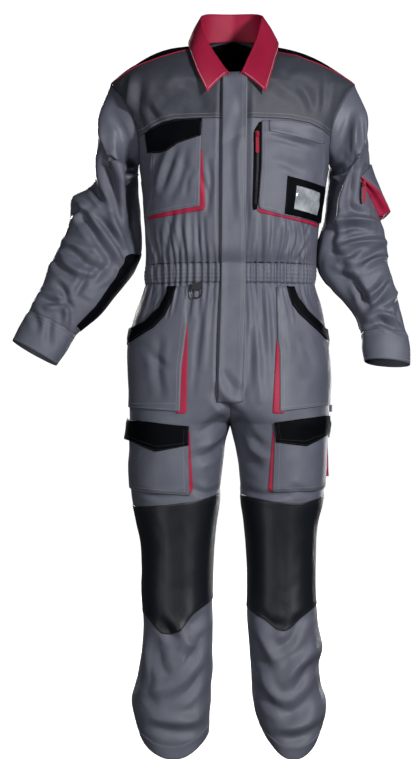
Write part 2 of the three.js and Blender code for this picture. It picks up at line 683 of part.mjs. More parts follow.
function withNormals(points) {
  const within = (k, count) => Math.max(0, Math.min(count - 1, k));
  const at = (i, j) => points[within(i, points.length)][within(j, points[0].length)];
  return points.map((line, i) =>
    line.map((p, j) => {
      const a = at(i + 1, j).clone().sub(at(i - 1, j));
      const b = at(i, j + 1).clone().sub(at(i, j - 1));
      return { p, n: a.cross(b).normalize() };
    }),
  );
}
const collarRows = [0, 0.6, 1.3, 2, 3, 4, 5, 5.6, 6.2, 7];
const collarLines = [
  ...collarRows.map((row) => collarLine(row, -1)),
  collarLine(COLLAR_END, 1),
  ...collarRows.slice().reverse().map((row) => collarLine(row, 1)),
];
add("collar", wall(withNormals(collarLines), 0.7, -0.7), COLOUR.red);

// Placket: made from the fronts' own points, moved out, from the neck to the fork.
const PLACKET_X = table(["z", "x"], [[780, -2], [893, 1], [1021, 5.5], [1105, 6], [1386, 8], [1490, 9]]);
function onUpperFront(x, row) {
  const side = x < lean(through(FRONT.centreZ, row)) ? "r" : "l";
  const cx = through(FRONT.centreX, row);
  const share = (Math.abs(x - lean(through(FRONT.centreZ, row))) - cx) / (through(FRONT.sideX, row) - cx);
  const p = upperAt(side, FRONT, Math.max(0, share), row);
  p.x = x;
  return p;
}
function onTrouserFront(x, row) {
  const outer = x < 0 ? LEGS.outerR : LEGS.outerL;
  const section = legSection(outer, LEGS.innerR, row);
  const share = (Math.abs(x) - section.centre) / section.half;
  return new THREE.Vector3(x, section.midY - section.depth * rest(share), section.z);
}
const placketLines = [
  ...[7.9, 7, 6, 5, 4, 3, 2, 1, 0].map((row) => [onUpperFront, row]),
  ...[0, 1, 2, 3, 4, 5, 6].map((row) => [onTrouserFront, row]),
].map(([on, row]) => {
  const middle = lookUp(PLACKET_X, "z", "x", on(0, row).z);
  return [-1, -0.5, 0, 0.5, 1].map((share) => on(middle + share * PLACKET_HALF, row));
});
const placketGrid = withNormals(placketLines).map((line) =>
  line.map(({ p, n }) => ({ p, n: n.y > 0 ? n.negate() : n })),
);
const PLACKET_LIFT = GATHER_RISE + 0.7; // clears the waistband's gathers
add("placket", wall(placketGrid, PLACKET_LIFT + 1.6, PLACKET_LIFT), COLOUR.grey);

// What lies on a panel is its own points moved out, cut to an outline drawn in front view.
const onFront = (side, low, high, outline) => cut(wall(frontGrid[side], high, low), outline, -400, -20);
const onLeg = (side, low, high, outline, far = 60) => cut(wall(legFront[side], high, low), outline, -400, far);
const raised = (by, lift) => (i, j) => by + lift(i, j);
const LAYER = SEAM + CLOTH; // one layer of cloth and the gap under it

// Right chest pocket: red gusset under a grey patch under a black flap
add("chest_gusset_r", onFront("r", SEAM, LAYER, [
  [-60, 1318], [-54, 1199], [-57, 1191], [-176, 1175], [-178, 1190], [-74, 1204], [-70, 1318],
]), COLOUR.red);
add("chest_pocket_r", onFront("r", SEAM + LAYER, 2 * LAYER, [
  [-172, 1372], [-117, 1383], [-61, 1383], [-62, 1347], [-66, 1199], [-181, 1182], [-168, 1247],
  [-172, 1283], [-168, 1313],
]), COLOUR.grey);
add("chest_flap_r", onFront("r", SEAM + 2 * LAYER, 3 * LAYER, [
  [-181, 1360], [-168, 1369], [-149, 1378], [-117, 1384], [-60, 1385], [-62, 1348], [-111, 1333],
  [-131, 1319], [-150, 1316], [-176, 1320],
]), COLOUR.black);

// Left chest pocket: black zip tape, red gusset, grey patch with a welt, and a holder with a clear window
add("chest_zip_tape", onFront("l", SEAM, LAYER, [
  [61, 1378], [50, 1360], [46, 1200], [48, 1190], [56, 1192], [58, 1205], [64, 1287], [65, 1378],
]), COLOUR.black);
add("chest_gusset_l", onFront("l", SEAM, LAYER, [
  [57, 1190], [61, 1185], [108, 1176], [189, 1161], [192, 1180], [110, 1196], [62, 1203],
]), COLOUR.red);
add("chest_pocket_l", onFront("l", SEAM + LAYER, 2 * LAYER, [
  [66, 1381], [65, 1287], [59, 1205], [62, 1193], [108, 1181], [190, 1169], [196, 1174],
  [200, 1250], [202, 1313], [200, 1362], [170, 1375], [128, 1383],
]), COLOUR.grey);
add("chest_welt_l", onFront("l", SEAM + 2 * LAYER, 3 * LAYER, [
  [81, 1381], [81, 1358], [188, 1338], [200, 1340], [198, 1362], [170, 1375], [128, 1382],
]), COLOUR.grey);
const HOLDER = [[119, 1264], [200, 1247], [193, 1170], [113, 1184]];
const WINDOW = [[138, 1244], [189, 1233], [182, 1185], [132, 1195]];
add("id_frame", onFront("l", SEAM + 2 * LAYER, 3 * LAYER, HOLDER), COLOUR.black);
add("id_window", onFront("l", SEAM + 3 * LAYER, 3 * LAYER + 0.9, WINDOW), COLOUR.clear, 0.2);

// Hip pockets: red gusset, grey patch with a curved mouth, and the mouth's black binding
const MOUTH = {
  r: [[-114, 1030], [-123, 1003], [-139, 968], [-164, 942], [-195, 924], [-216, 912]],
  l: [[118, 1030], [124, 1005], [143, 973], [173, 945], [203, 920], [214, 912]],
};
const BINDING = {
  r: [
    [-136, 1030], [-138, 1016], [-153, 987], [-184, 955], [-226, 938], [-226, 906], [-195, 924],
    [-164, 942], [-139, 968], [-123, 1003], [-114, 1030],
  ],
  l: [
    [136, 1030], [144, 1005], [167, 975], [205, 942], [226, 932], [226, 905], [203, 920], [173, 945],
    [143, 973], [124, 1005], [118, 1030],
  ],
};
add("hip_gusset_r", onLeg("r", SEAM, LAYER, [
  [-91, 949], [-92, 880], [-94, 762], [-116, 758], [-112, 860], [-100, 949],
]), COLOUR.red);
add("hip_gusset_l", onLeg("l", SEAM, LAYER, [
  [98, 913], [94, 851], [89, 762], [112, 758], [112, 890], [107, 913],
]), COLOUR.red);
add("hip_pocket_r", onLeg("r", SEAM + LAYER, 2 * LAYER, [
  [-90, 1029], [-92, 950], [-104, 860], [-108, 762], [-208, 768], [-230, 772], [-230, 905],
  ...MOUTH.r.slice().reverse(),
]), COLOUR.grey);
add("hip_pocket_l", onLeg("l", SEAM + LAYER, 2 * LAYER, [
  [98, 1029], [100, 915], [104, 890], [104, 762], [205, 774], [230, 776], [230, 905],
  ...MOUTH.l.slice().reverse(),
]), COLOUR.grey);
bothSides.forEach((side) =>
  add("hip_binding_" + side, onLeg(side, SEAM + 2 * LAYER, 3 * LAYER, BINDING[side]), COLOUR.black),
);

// Thigh pockets
add("thigh_gusset_r", onLeg("r", SEAM, LAYER, [
  [-88, 720], [-80, 596], [-86, 586], [-100, 590], [-98, 720],
]), COLOUR.red);
add("thigh_gusset_l", onLeg("l", SEAM, LAYER, [
  [90, 720], [81, 596], [88, 588], [102, 592], [102, 720],
]), COLOUR.red);
add("thigh_pocket_r", onLeg("r", SEAM + LAYER, 2 * LAYER, [
  [-230, 736], [-91, 727], [-88, 582], [-197, 590], [-230, 597],
]), COLOUR.grey);
add("thigh_pocket_l", onLeg("l", SEAM + LAYER, 2 * LAYER, [
  [94, 731], [201, 742], [201, 602], [199, 592], [90, 590],
]), COLOUR.grey);
// The flaps stand off the pockets towards their points and, on the right, at the side seam.
const FLAP_ROW = 11;
const flapLift = {
  r: (i, j) => (i >= FLAP_ROW ? 1.5 + 4 * Math.max(0, j - 6) : 0),
  l: (i) => (i >= FLAP_ROW ? 1.5 : 0),
};
const FLAP = {
  r: [[-232, 746], [-212, 743], [-90, 732], [-91, 691], [-158, 677], [-216, 699], [-232, 704]],
  l: [[93, 740], [201, 752], [204, 711], [160, 688], [97, 698]],
};
bothSides.forEach((side) => {
  const [low, high] = [SEAM + 2 * LAYER, 3 * LAYER].map((by) => raised(by, flapLift[side]));
  add("thigh_flap_" + side, onLeg(side, low, high, FLAP[side]), COLOUR.black);
});

// Knee panels
const KNEE = {
  r: [
    [-240, 558], [-206, 556], [-137, 562], [-79, 569], [-10, 586], [-10, 362], [-40, 351],
    [-80, 325], [-108, 290], [-130, 282], [-149, 284], [-180, 316], [-240, 345],
  ],
  l: [
    [10, 584], [26, 581], [93, 569], [150, 565], [202, 577], [240, 584], [240, 352], [186, 339],
    [156, 319], [130, 296], [116, 290], [99, 293], [73, 313], [37, 333], [10, 340],
  ],
};
bothSides.forEach((side) => add("knee_" + side, onLeg(side, SEAM, LAYER, KNEE[side]), COLOUR.black));

// A bellows pocket: an outer panel held off a base surface by a gusset down its front edge and along
// its bottom. at(t, s) gives the base from top to bottom and front to back, with the way out of it.
function bellows(name, at, rise, low, colour) {
  const off = (t, s, by) => {
    const { p, n } = at(t, s);
    return p.clone().addScaledVector(n, by);
  };
  const panel = steps(0, 1, 5).map((t) => steps(0, 1, 4).map((s) => off(t, s, rise(t, s))));
  add(name + "_pocket", wall(withNormals(panel), 0.5, -0.5), colour);
  const path = [...steps(0, 1, 5).map((t) => [t, 0]), ...steps(0, 1, 4).slice(1).map((s) => [1, s])];
  const gusset = path.map(([t, s]) => {
    const top = rise(t, s) - 1.4;
    return [low, (low + top) / 2, top].map((by) => off(t, s, by));
  });
  add(name + "_gusset", wall(withNormals(gusset), 0.45, -0.45), COLOUR.red);
}

// Rule pocket on the outside of the left thigh, behind the side seam, with its flap and hammer loop
const RULE = { top: 10.4, bottom: 13.55, front: 0.505, back: 0.67 };
const onThigh = (u, row) => {
  const n = legNormal("l")(u, row);
  return { p: leg("l")(u, row).addScaledVector(n, foldDepth(FOLDS.trousers_l, leg("l")(u, row), n)), n };
};
const mix = (a, b, t) => a + (b - a) * t;
bellows(
  "rule",
  (t, s) => onThigh(mix(RULE.front, RULE.back, s), mix(RULE.top, RULE.bottom, t)),
  (t, s) => mix(3.6, mix(12.5, 5, s), t),
  0.9,
  COLOUR.grey,
);
const flapStrip = (rows, offs) =>
  rows.map((row, i) =>
    steps(RULE.front - 0.005, RULE.back, 4).map((u) => {
      const { p, n } = onThigh(u, row);
      return p.addScaledVector(n, offs[i]);
    }),
  );
const ruleFlap = flapStrip([8.6, 9.4, 10.4, 11.3], [1.9, 4, 6.6, 8.6]);
add("rule_flap", wall(withNormals(ruleFlap), 0.5, -0.5), COLOUR.black);
add("hammer_loop", wall(withNormals(hammerLoop()), 0.5, -0.5), COLOUR.grey);

// A strip of cloth sewn to the side seam by both ends, standing off the leg between them.
function hammerLoop() {
  const spread = [0.502, 0.515, 0.54, 0.565, 0.578];
  const offs = [1.0, 9.5, 11.5, 9.5, 1.0];
  return [6.75, 7.4].map((row) =>
    spread.map((u, i) => {
      const { p, n } = onThigh(u, row);
      return p.addScaledVector(n, offs[i]);
    }),
  );
}

// D-ring on its webbing loop, at the waist seam
const RING = { x: -73, z: 1025, wire: 1.5, halfWidth: 11.5, drop: 21, loopHalf: 9 };
function sweep(path, radius, sides) {
  const count = path.length;
  const position = [];
  const index = [];
  path.forEach((p, i) => {
    const along = path[(i + 1) % count].clone().sub(path[(i + count - 1) % count]).normalize();
    const across = new THREE.Vector3(0, 1, 0);
    const inPlane = new THREE.Vector3().crossVectors(across, along).normalize();
    for (let s = 0; s < sides; s += 1) {
      const a = (2 * Math.PI * s) / sides;
      const q = p.clone().addScaledVector(across, radius * Math.cos(a));
      q.addScaledVector(inPlane, radius * Math.sin(a));
      position.push(q.x, q.y, q.z);
    }
  });
  for (let i = 0; i < count; i += 1)
    for (let s = 0; s < sides; s += 1) {
      const [a, b] = [i * sides, ((i + 1) % count) * sides];
      const t = (s + 1) % sides;
      index.push(a + s, b + s, b + t, a + s, b + t, a + t);
    }
  return facingOut(position, index);
}
const ringY = onTrouserFront(RING.x, 1).y - 5;
const seatY = onTrouserFront(RING.x + RING.loopHalf, 0.1).y - ringY - SEAM;
const ringPath = [
  [-RING.halfWidth, 0],
  [-5, 0],
  [5, 0],
  [RING.halfWidth, 0],
  ...steps(0, Math.PI, 6).map((a) => [RING.halfWidth * Math.cos(a), -8 - (RING.drop - 8) * Math.sin(a)]),
].map(([x, z]) => new THREE.Vector3(RING.x + x, ringY, RING.z + z));
add("d_ring", sweep(ringPath, RING.wire, 8), COLOUR.plastic, 0.35);

// The loop is a flat tube of webbing round the ring's straight bar. Its tail is sewn in at the waist seam.
function webbingLoop() {
  const out = [[2.9, -2.9], [2.9, 8], [seatY, 9.8], [seatY, 11.8], [-2.9, 11.8], [-2.9, -2.9]];
  const hole = [[1.9, -1.9], [-1.9, -1.9], [-1.9, 9.8], [1.9, 9.8]];
  const loop = new THREE.ExtrudeGeometry(shapeOf(out, hole), { depth: 2 * RING.loopHalf, bevelEnabled: false });
  loop.rotateX(Math.PI / 2);
  loop.rotateZ(Math.PI / 2);
  loop.translate(RING.x - RING.loopHalf, ringY, RING.z);
  return loop;
}
add("ring_loop", webbingLoop(), COLOUR.black);

// Zip sliders and their pulls. A pull's top bar passes under the slider's bridge.
const PULL = { long: 40, wide: 7, thick: 1.5, eye: 7, barZ: -1.5, barY: -2 };
function sliderSolid(backing) {
  const bridge = shapeOf([
    [0, -4], [-4.4, -4], [-4.4, 4], [0, 4], [0, 2.8], [-3.2, 2.8], [-3.2, -2.8], [0, -2.8],
  ]);
  const arch = new THREE.ExtrudeGeometry(bridge, { depth: 2.2, bevelEnabled: false });
  arch.rotateX(Math.PI / 2);
  arch.rotateZ(Math.PI / 2);
  arch.translate(-1.1, 0, 0);
  const base = new THREE.BoxGeometry(8, backing, 11).translate(0, backing / 2 - 0.2, 0);
  return geometryOf(solid(arch).add(solid(base)));
}
function pullSolid() {
  const { long, wide, thick, eye } = PULL;
  const right = [[wide / 2, -eye], [wide / 2, 2 - long], [2, -long]];
  const left = right.map(([x, z]) => [-x, z]);
  const outline = [[2.6, 0.75], [-2.6, 0.75], ...left, ...right.slice().reverse()];
  const hole = [[-1.8, -0.85], [1.8, -0.85], [1.8, 1 - eye], [-1.8, 1 - eye]];
  const tab = new THREE.ExtrudeGeometry(shapeOf(outline, hole), { depth: thick, bevelEnabled: false });
  tab.rotateX(Math.PI / 2);
  tab.translate(0, thick / 2, 0);
  return tab;
}
function zipAt(name, x, y, z, backing) {
  const slider = sliderSolid(backing).translate(x, y, z);
  add(name + "_slider", slider, COLOUR.red, 0.4);
  add(name + "_pull", pullSolid().translate(x, y + PULL.barY, z + PULL.barZ), COLOUR.red, 0.5);
}
const CHEST_ZIP = { x: 56.5, z: 1352, row: 5.1, stand: 5.5 };
const chestY = onUpperFront(CHEST_ZIP.x, CHEST_ZIP.row).y - LAYER;
zipAt("chest", CHEST_ZIP.x, chestY - CHEST_ZIP.stand, CHEST_ZIP.z, CHEST_ZIP.stand + 0.3);

// Bellows pocket on the outside of the left upper sleeve, its gusset widening downwards
const ARM = { top: 3.3, bottom: 5.95, front: [0.3, 0.465], back: [0.56, 0.66], rise: [3.4, 14, 22, 26, 27, 28] };
const onArm = (u, row) => {
  const n = sleeveNormal("l", u, row);
  return { p: sleeve("l")(u, row).addScaledVector(n, foldDepth(FOLDS.sleeve_l, sleeve("l")(u, row), n)), n };
};
bellows(
  "arm",
  (t, s) => {
    const { p, n } = onArm(mix(mix(...ARM.front, t), mix(...ARM.back, t), s), mix(ARM.top, ARM.bottom, t));
    return { p, n: n.multiplyScalar(0.5).add(new THREE.Vector3(0.6, 0, 0.35)).normalize() };
  },
  (t, s) => mix(through(ARM.rise, 5 * t), 3.4, s),
  1.7,
  COLOUR.grey,
);
const armSpot = onArm(mix(...ARM.front, 0.22), mix(ARM.top, ARM.bottom, 0.22)).p;
zipAt("arm", armSpot.x, armSpot.y - 12, armSpot.z, 6);

group.children.forEach((mesh) => mesh.geometry.deleteAttribute("uv"));
group.position.z = -SHOULDER_HEIGHT;

export default group;
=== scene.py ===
import math

import bpy
import numpy as np
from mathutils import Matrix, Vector


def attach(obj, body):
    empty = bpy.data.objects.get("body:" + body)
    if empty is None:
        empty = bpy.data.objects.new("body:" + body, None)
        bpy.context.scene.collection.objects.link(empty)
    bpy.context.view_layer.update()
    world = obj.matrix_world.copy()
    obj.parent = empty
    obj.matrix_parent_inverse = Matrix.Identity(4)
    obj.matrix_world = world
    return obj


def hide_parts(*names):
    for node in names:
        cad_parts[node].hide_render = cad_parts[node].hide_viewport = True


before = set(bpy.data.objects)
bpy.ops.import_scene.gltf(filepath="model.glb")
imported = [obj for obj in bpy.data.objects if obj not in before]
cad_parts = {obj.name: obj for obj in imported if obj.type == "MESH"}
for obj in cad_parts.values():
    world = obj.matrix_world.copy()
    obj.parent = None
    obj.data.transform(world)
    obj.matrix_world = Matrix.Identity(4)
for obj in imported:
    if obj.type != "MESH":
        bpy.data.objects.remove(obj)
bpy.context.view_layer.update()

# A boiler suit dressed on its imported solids: twill panels with folds, gathers and seams, bellows pockets,
# zips and trim. Tables are in millimetres. Heights are above the floor plane under the hems, and the
# part's origin lies at SHOULDER_HEIGHT between the shoulder ridges. Front is -Y, +X the wearer's left.
SHOULDER_HEIGHT = 1566
BAND_TOP = 1080
BAND_BOTTOM = 1038
FRONT_END = 11.4  # row where the front yoke meets the shoulder inset
BACK_END = 11  # row where the back yoke meets it
UNDERARM = 5
RIDGE = 12
SQUARE = 2.3  # superellipse exponent of the body and leg sections
SHOULDER_ARCH = {"r": 25, "l": 17}
HEM_CURVE = 1.7
GATHERS = 18  # fine gathers in each quarter of the waistband
GATHER_DEPTH = 1.9
FRONT_NECK, BACK_NECK = 9, 10  # rows where the centre edge has turned into the neckline
WRIST, CUFF_END = 13, 15  # rows of the sleeve where the cuff starts and ends
PLACKET_HALF = 27
MM = 0.001
SIDES = "rl"
SIGN = {"r": -1, "l": 1}


def table(names, rows):
    return dict(zip(names.split(), np.array(rows, float).T))


# Upper fronts and back: centre edge, which turns into the neckline, and side edge, which turns into the
# armhole above the underarm.
EDGE = "centre_x centre_y centre_z side_x side_y side_z"
FRONT = table(EDGE, [
    (0, -121, 1080, 185, 0, 1080),
    (0, -135, 1112, 187, -4, 1110),
    (0, -142, 1180, 193, -10, 1172),
    (0, -145, 1235, 198, -12, 1220),
    (0, -145, 1290, 203, -9, 1265),
    (0, -142, 1345, 208, -2, 1302),
    (0, -136, 1395, 206, -46, 1336),
    (0, -128, 1438, 212, -64, 1385),
    (0, -118, 1474, 232, -56, 1430),
    (16, -114, 1479, 250, -36, 1459),
    (45, -94, 1502, 261, -18, 1472),
    (68, -54, 1537, 267, -3, 1479),
    (80, 10, 1566, 270, 10, 1481),
])
BACK = table(EDGE, [
    (0, 111, 1080, 185, 0, 1080),
    (0, 121, 1112, 187, -4, 1110),
    (0, 126, 1180, 193, -10, 1172),
    (0, 131, 1235, 198, -12, 1220),
    (0, 135, 1290, 203, -9, 1265),
    (0, 137, 1345, 208, -2, 1302),
    (0, 137, 1400, 209, 54, 1338),
    (0, 133, 1455, 217, 74, 1388),
    (0, 124, 1505, 235, 68, 1434),
    (0, 110, 1552, 252, 50, 1461),
    (0, 90, 1590, 262, 34, 1473),
    (48, 74, 1583, 268, 21, 1479),
    (80, 10, 1566, 270, 10, 1481),
])
LEAN = table("z x", [
    (1038, 0),
    (1080, 0),
    (1180, 5),
    (1235, 9),
    (1345, 9),
    (1480, 6),
    (1566, 9),
    (1660, 9),
])
LEGS = table("z outer_r inner_r outer_l inner_l split front back tilt", [
    (1038, 185, 0, 184, 0, 0, -119, 109, 0),
    (1004, 196, 0, 194, 0, 0, -124, 115, 0),
    (970, 208, 0, 203, 0, 0, -127, 121, 0),
    (926, 220, 0, 211, 0, 0, -130, 128, 0),
    (880, 222, 0, 216, 0, 0.03, -132, 133, 0),
    (835, 221, 0, 218, 0, 0.12, -133, 135, 0),
    (795, 220, 0, 217, 0, 0.3, -133, 133, 0),
    (768, 220, 0, 217, 0, 0.56, -132, 129, 0),
    (750, 220, 0, 217, 0, 0.8, -131, 125, 0),
    (740, 220, 0, 217, 0, 0.94, -130, 122, 0),
    (733, 220, 0.4, 217, 0.4, 1, -129, 120, 0),
    (712, 218, 6, 211, 5, 1, -126, 117, 0),
    (680, 217, 12, 209, 13, 1, -122, 113, 0),
    (640, 218, 15, 208, 19, 1, -118, 108, 0),
    (600, 218, 19, 206, 21, 1, -113, 103, 0),
    (560, 213, 23, 202, 24, 1, -108, 98, 0),
    (515, 204, 30, 191, 31, 1, -103, 93, 0),
    (470, 195, 35, 187, 35, 1, -99, 89, 0),
    (420, 193, 38, 187, 38, 1, -97, 86, 0),
    (370, 194, 39, 187, 38, 1, -96, 84, 0),
    (320, 190, 39, 191, 36, 1, -97, 84, 0),
    (275, 188, 37, 197, 38, 1, -98, 85, 0),
    (240, 191, 37, 202, 42, 1, -99, 87, 0.02),
    (205, 199, 38, 194, 46, 1, -101, 89, 0.05),
    (165, 208, 41, 199, 49, 1, -103, 91, 0.1),
    (130, 216, 42, 210, 51, 1, -104, 92, 0.18),
    (95, 211, 45, 208, 58, 1, -104, 90, 0.28),
    (57, 199, 47, 194, 76, 1, -102, 86, 0.36),
])
HEM = len(LEGS["z"]) - 1
SECTION = "outer_x outer_z inner_x inner_z mid_y half"
SLEEVE_R = table(SECTION, [
    (276, 1430, 210, 1288, 10, 79),
    (289, 1378, 201, 1262, 18, 80),
    (295, 1325, 197, 1232, 24, 79),
    (298, 1282, 193, 1204, 28, 78),
    (314, 1254, 192, 1176, 29, 76),
    (349, 1234, 191, 1142, 27, 74),
    (353, 1196, 194, 1108, 21, 71),
    (361, 1160, 203, 1085, 14, 68),
    (379, 1118, 222, 1052, 5, 64),
    (398, 1083, 250, 1015, -5, 58),
    (412, 1038, 279, 979, -14, 52),
    (428, 1006, 308, 953, -22, 46),
    (440, 979, 337, 925, -30, 40),
    (458, 946, 357, 892, -36, 38),
    (474, 915, 376, 860, -42, 36),
])
SLEEVE_L = table(SECTION, [
    (284, 1436, 227, 1288, 10, 80),
    (297, 1378, 220, 1262, 18, 80),
    (308, 1322, 213, 1236, 24, 79),
    (314, 1270, 209.5, 1208, 28, 78),
    (322, 1225, 205.5, 1180, 28, 76),
    (331, 1185, 200, 1155, 24, 73),
    (344, 1148, 194, 1125, 17, 70),
    (348, 1110, 191, 1095, 8, 67),
    (348, 1080, 198, 1068, -3, 64),
    (358, 1045, 220, 1036, -19, 60),
    (367, 1005, 248, 1002, -31, 54),
    (375, 968, 272, 968, -43, 47),
    (383, 931, 285, 929, -56, 41),
    (388.5, 901, 287, 899, -64, 38),
    (388, 862, 290, 870, -72, 36),
])
COLLAR = table("neck_x neck_y neck_z fold_x fold_c fold_y fold_z edge_x edge_c edge_y edge_z", [
    (11, -116, 1477.5, 12.8, 9.4, -118, 1485, 62, 12.3, -137, 1441),
    (28, -106, 1491, 21.5, 7.5, -105, 1500, 69.5, 10.5, -132, 1463),
    (45, -93, 1505, 31, 5.5, -90, 1519, 78.5, 8.6, -121, 1486),
    (60, -70, 1528, 46, 3.5, -66, 1549, 87, 8, -97, 1514),
    (72, -38, 1547, 58.8, 1.8, -36, 1583, 95, 7.7, -57, 1544),
    (80, 10, 1567, 65, 4.5, 8, 1624, 99, 7.7, 12, 1573),
    (76, 42, 1575, 61, 4.9, 46, 1638, 95, 8, 64, 1579),
    (50, 73, 1584, 42, 6.5, 73, 1645, 64, 8.6, 101, 1581),
    (0, 90, 1591, 0, 8, 87, 1647, 0, 9, 112, 1580),
])
PLACKET = table("z x", [
    (780, -2),
    (893, 1),
    (1021, 5.5),
    (1105, 6),
    (1386, 8),
    (1490, 9),
])

# Seam lines in front view
YOKE_SEAM = [
    (-400, 1340), (-196, 1356), (-181, 1362), (-168, 1371), (-149, 1380), (-117, 1386), (34, 1388),
    (128, 1386), (170, 1379), (196, 1368), (212, 1358), (400, 1340),
]
BACK_SEAM = [(-400, 1392), (-215, 1400), (9, 1412), (230, 1400), (400, 1392)]

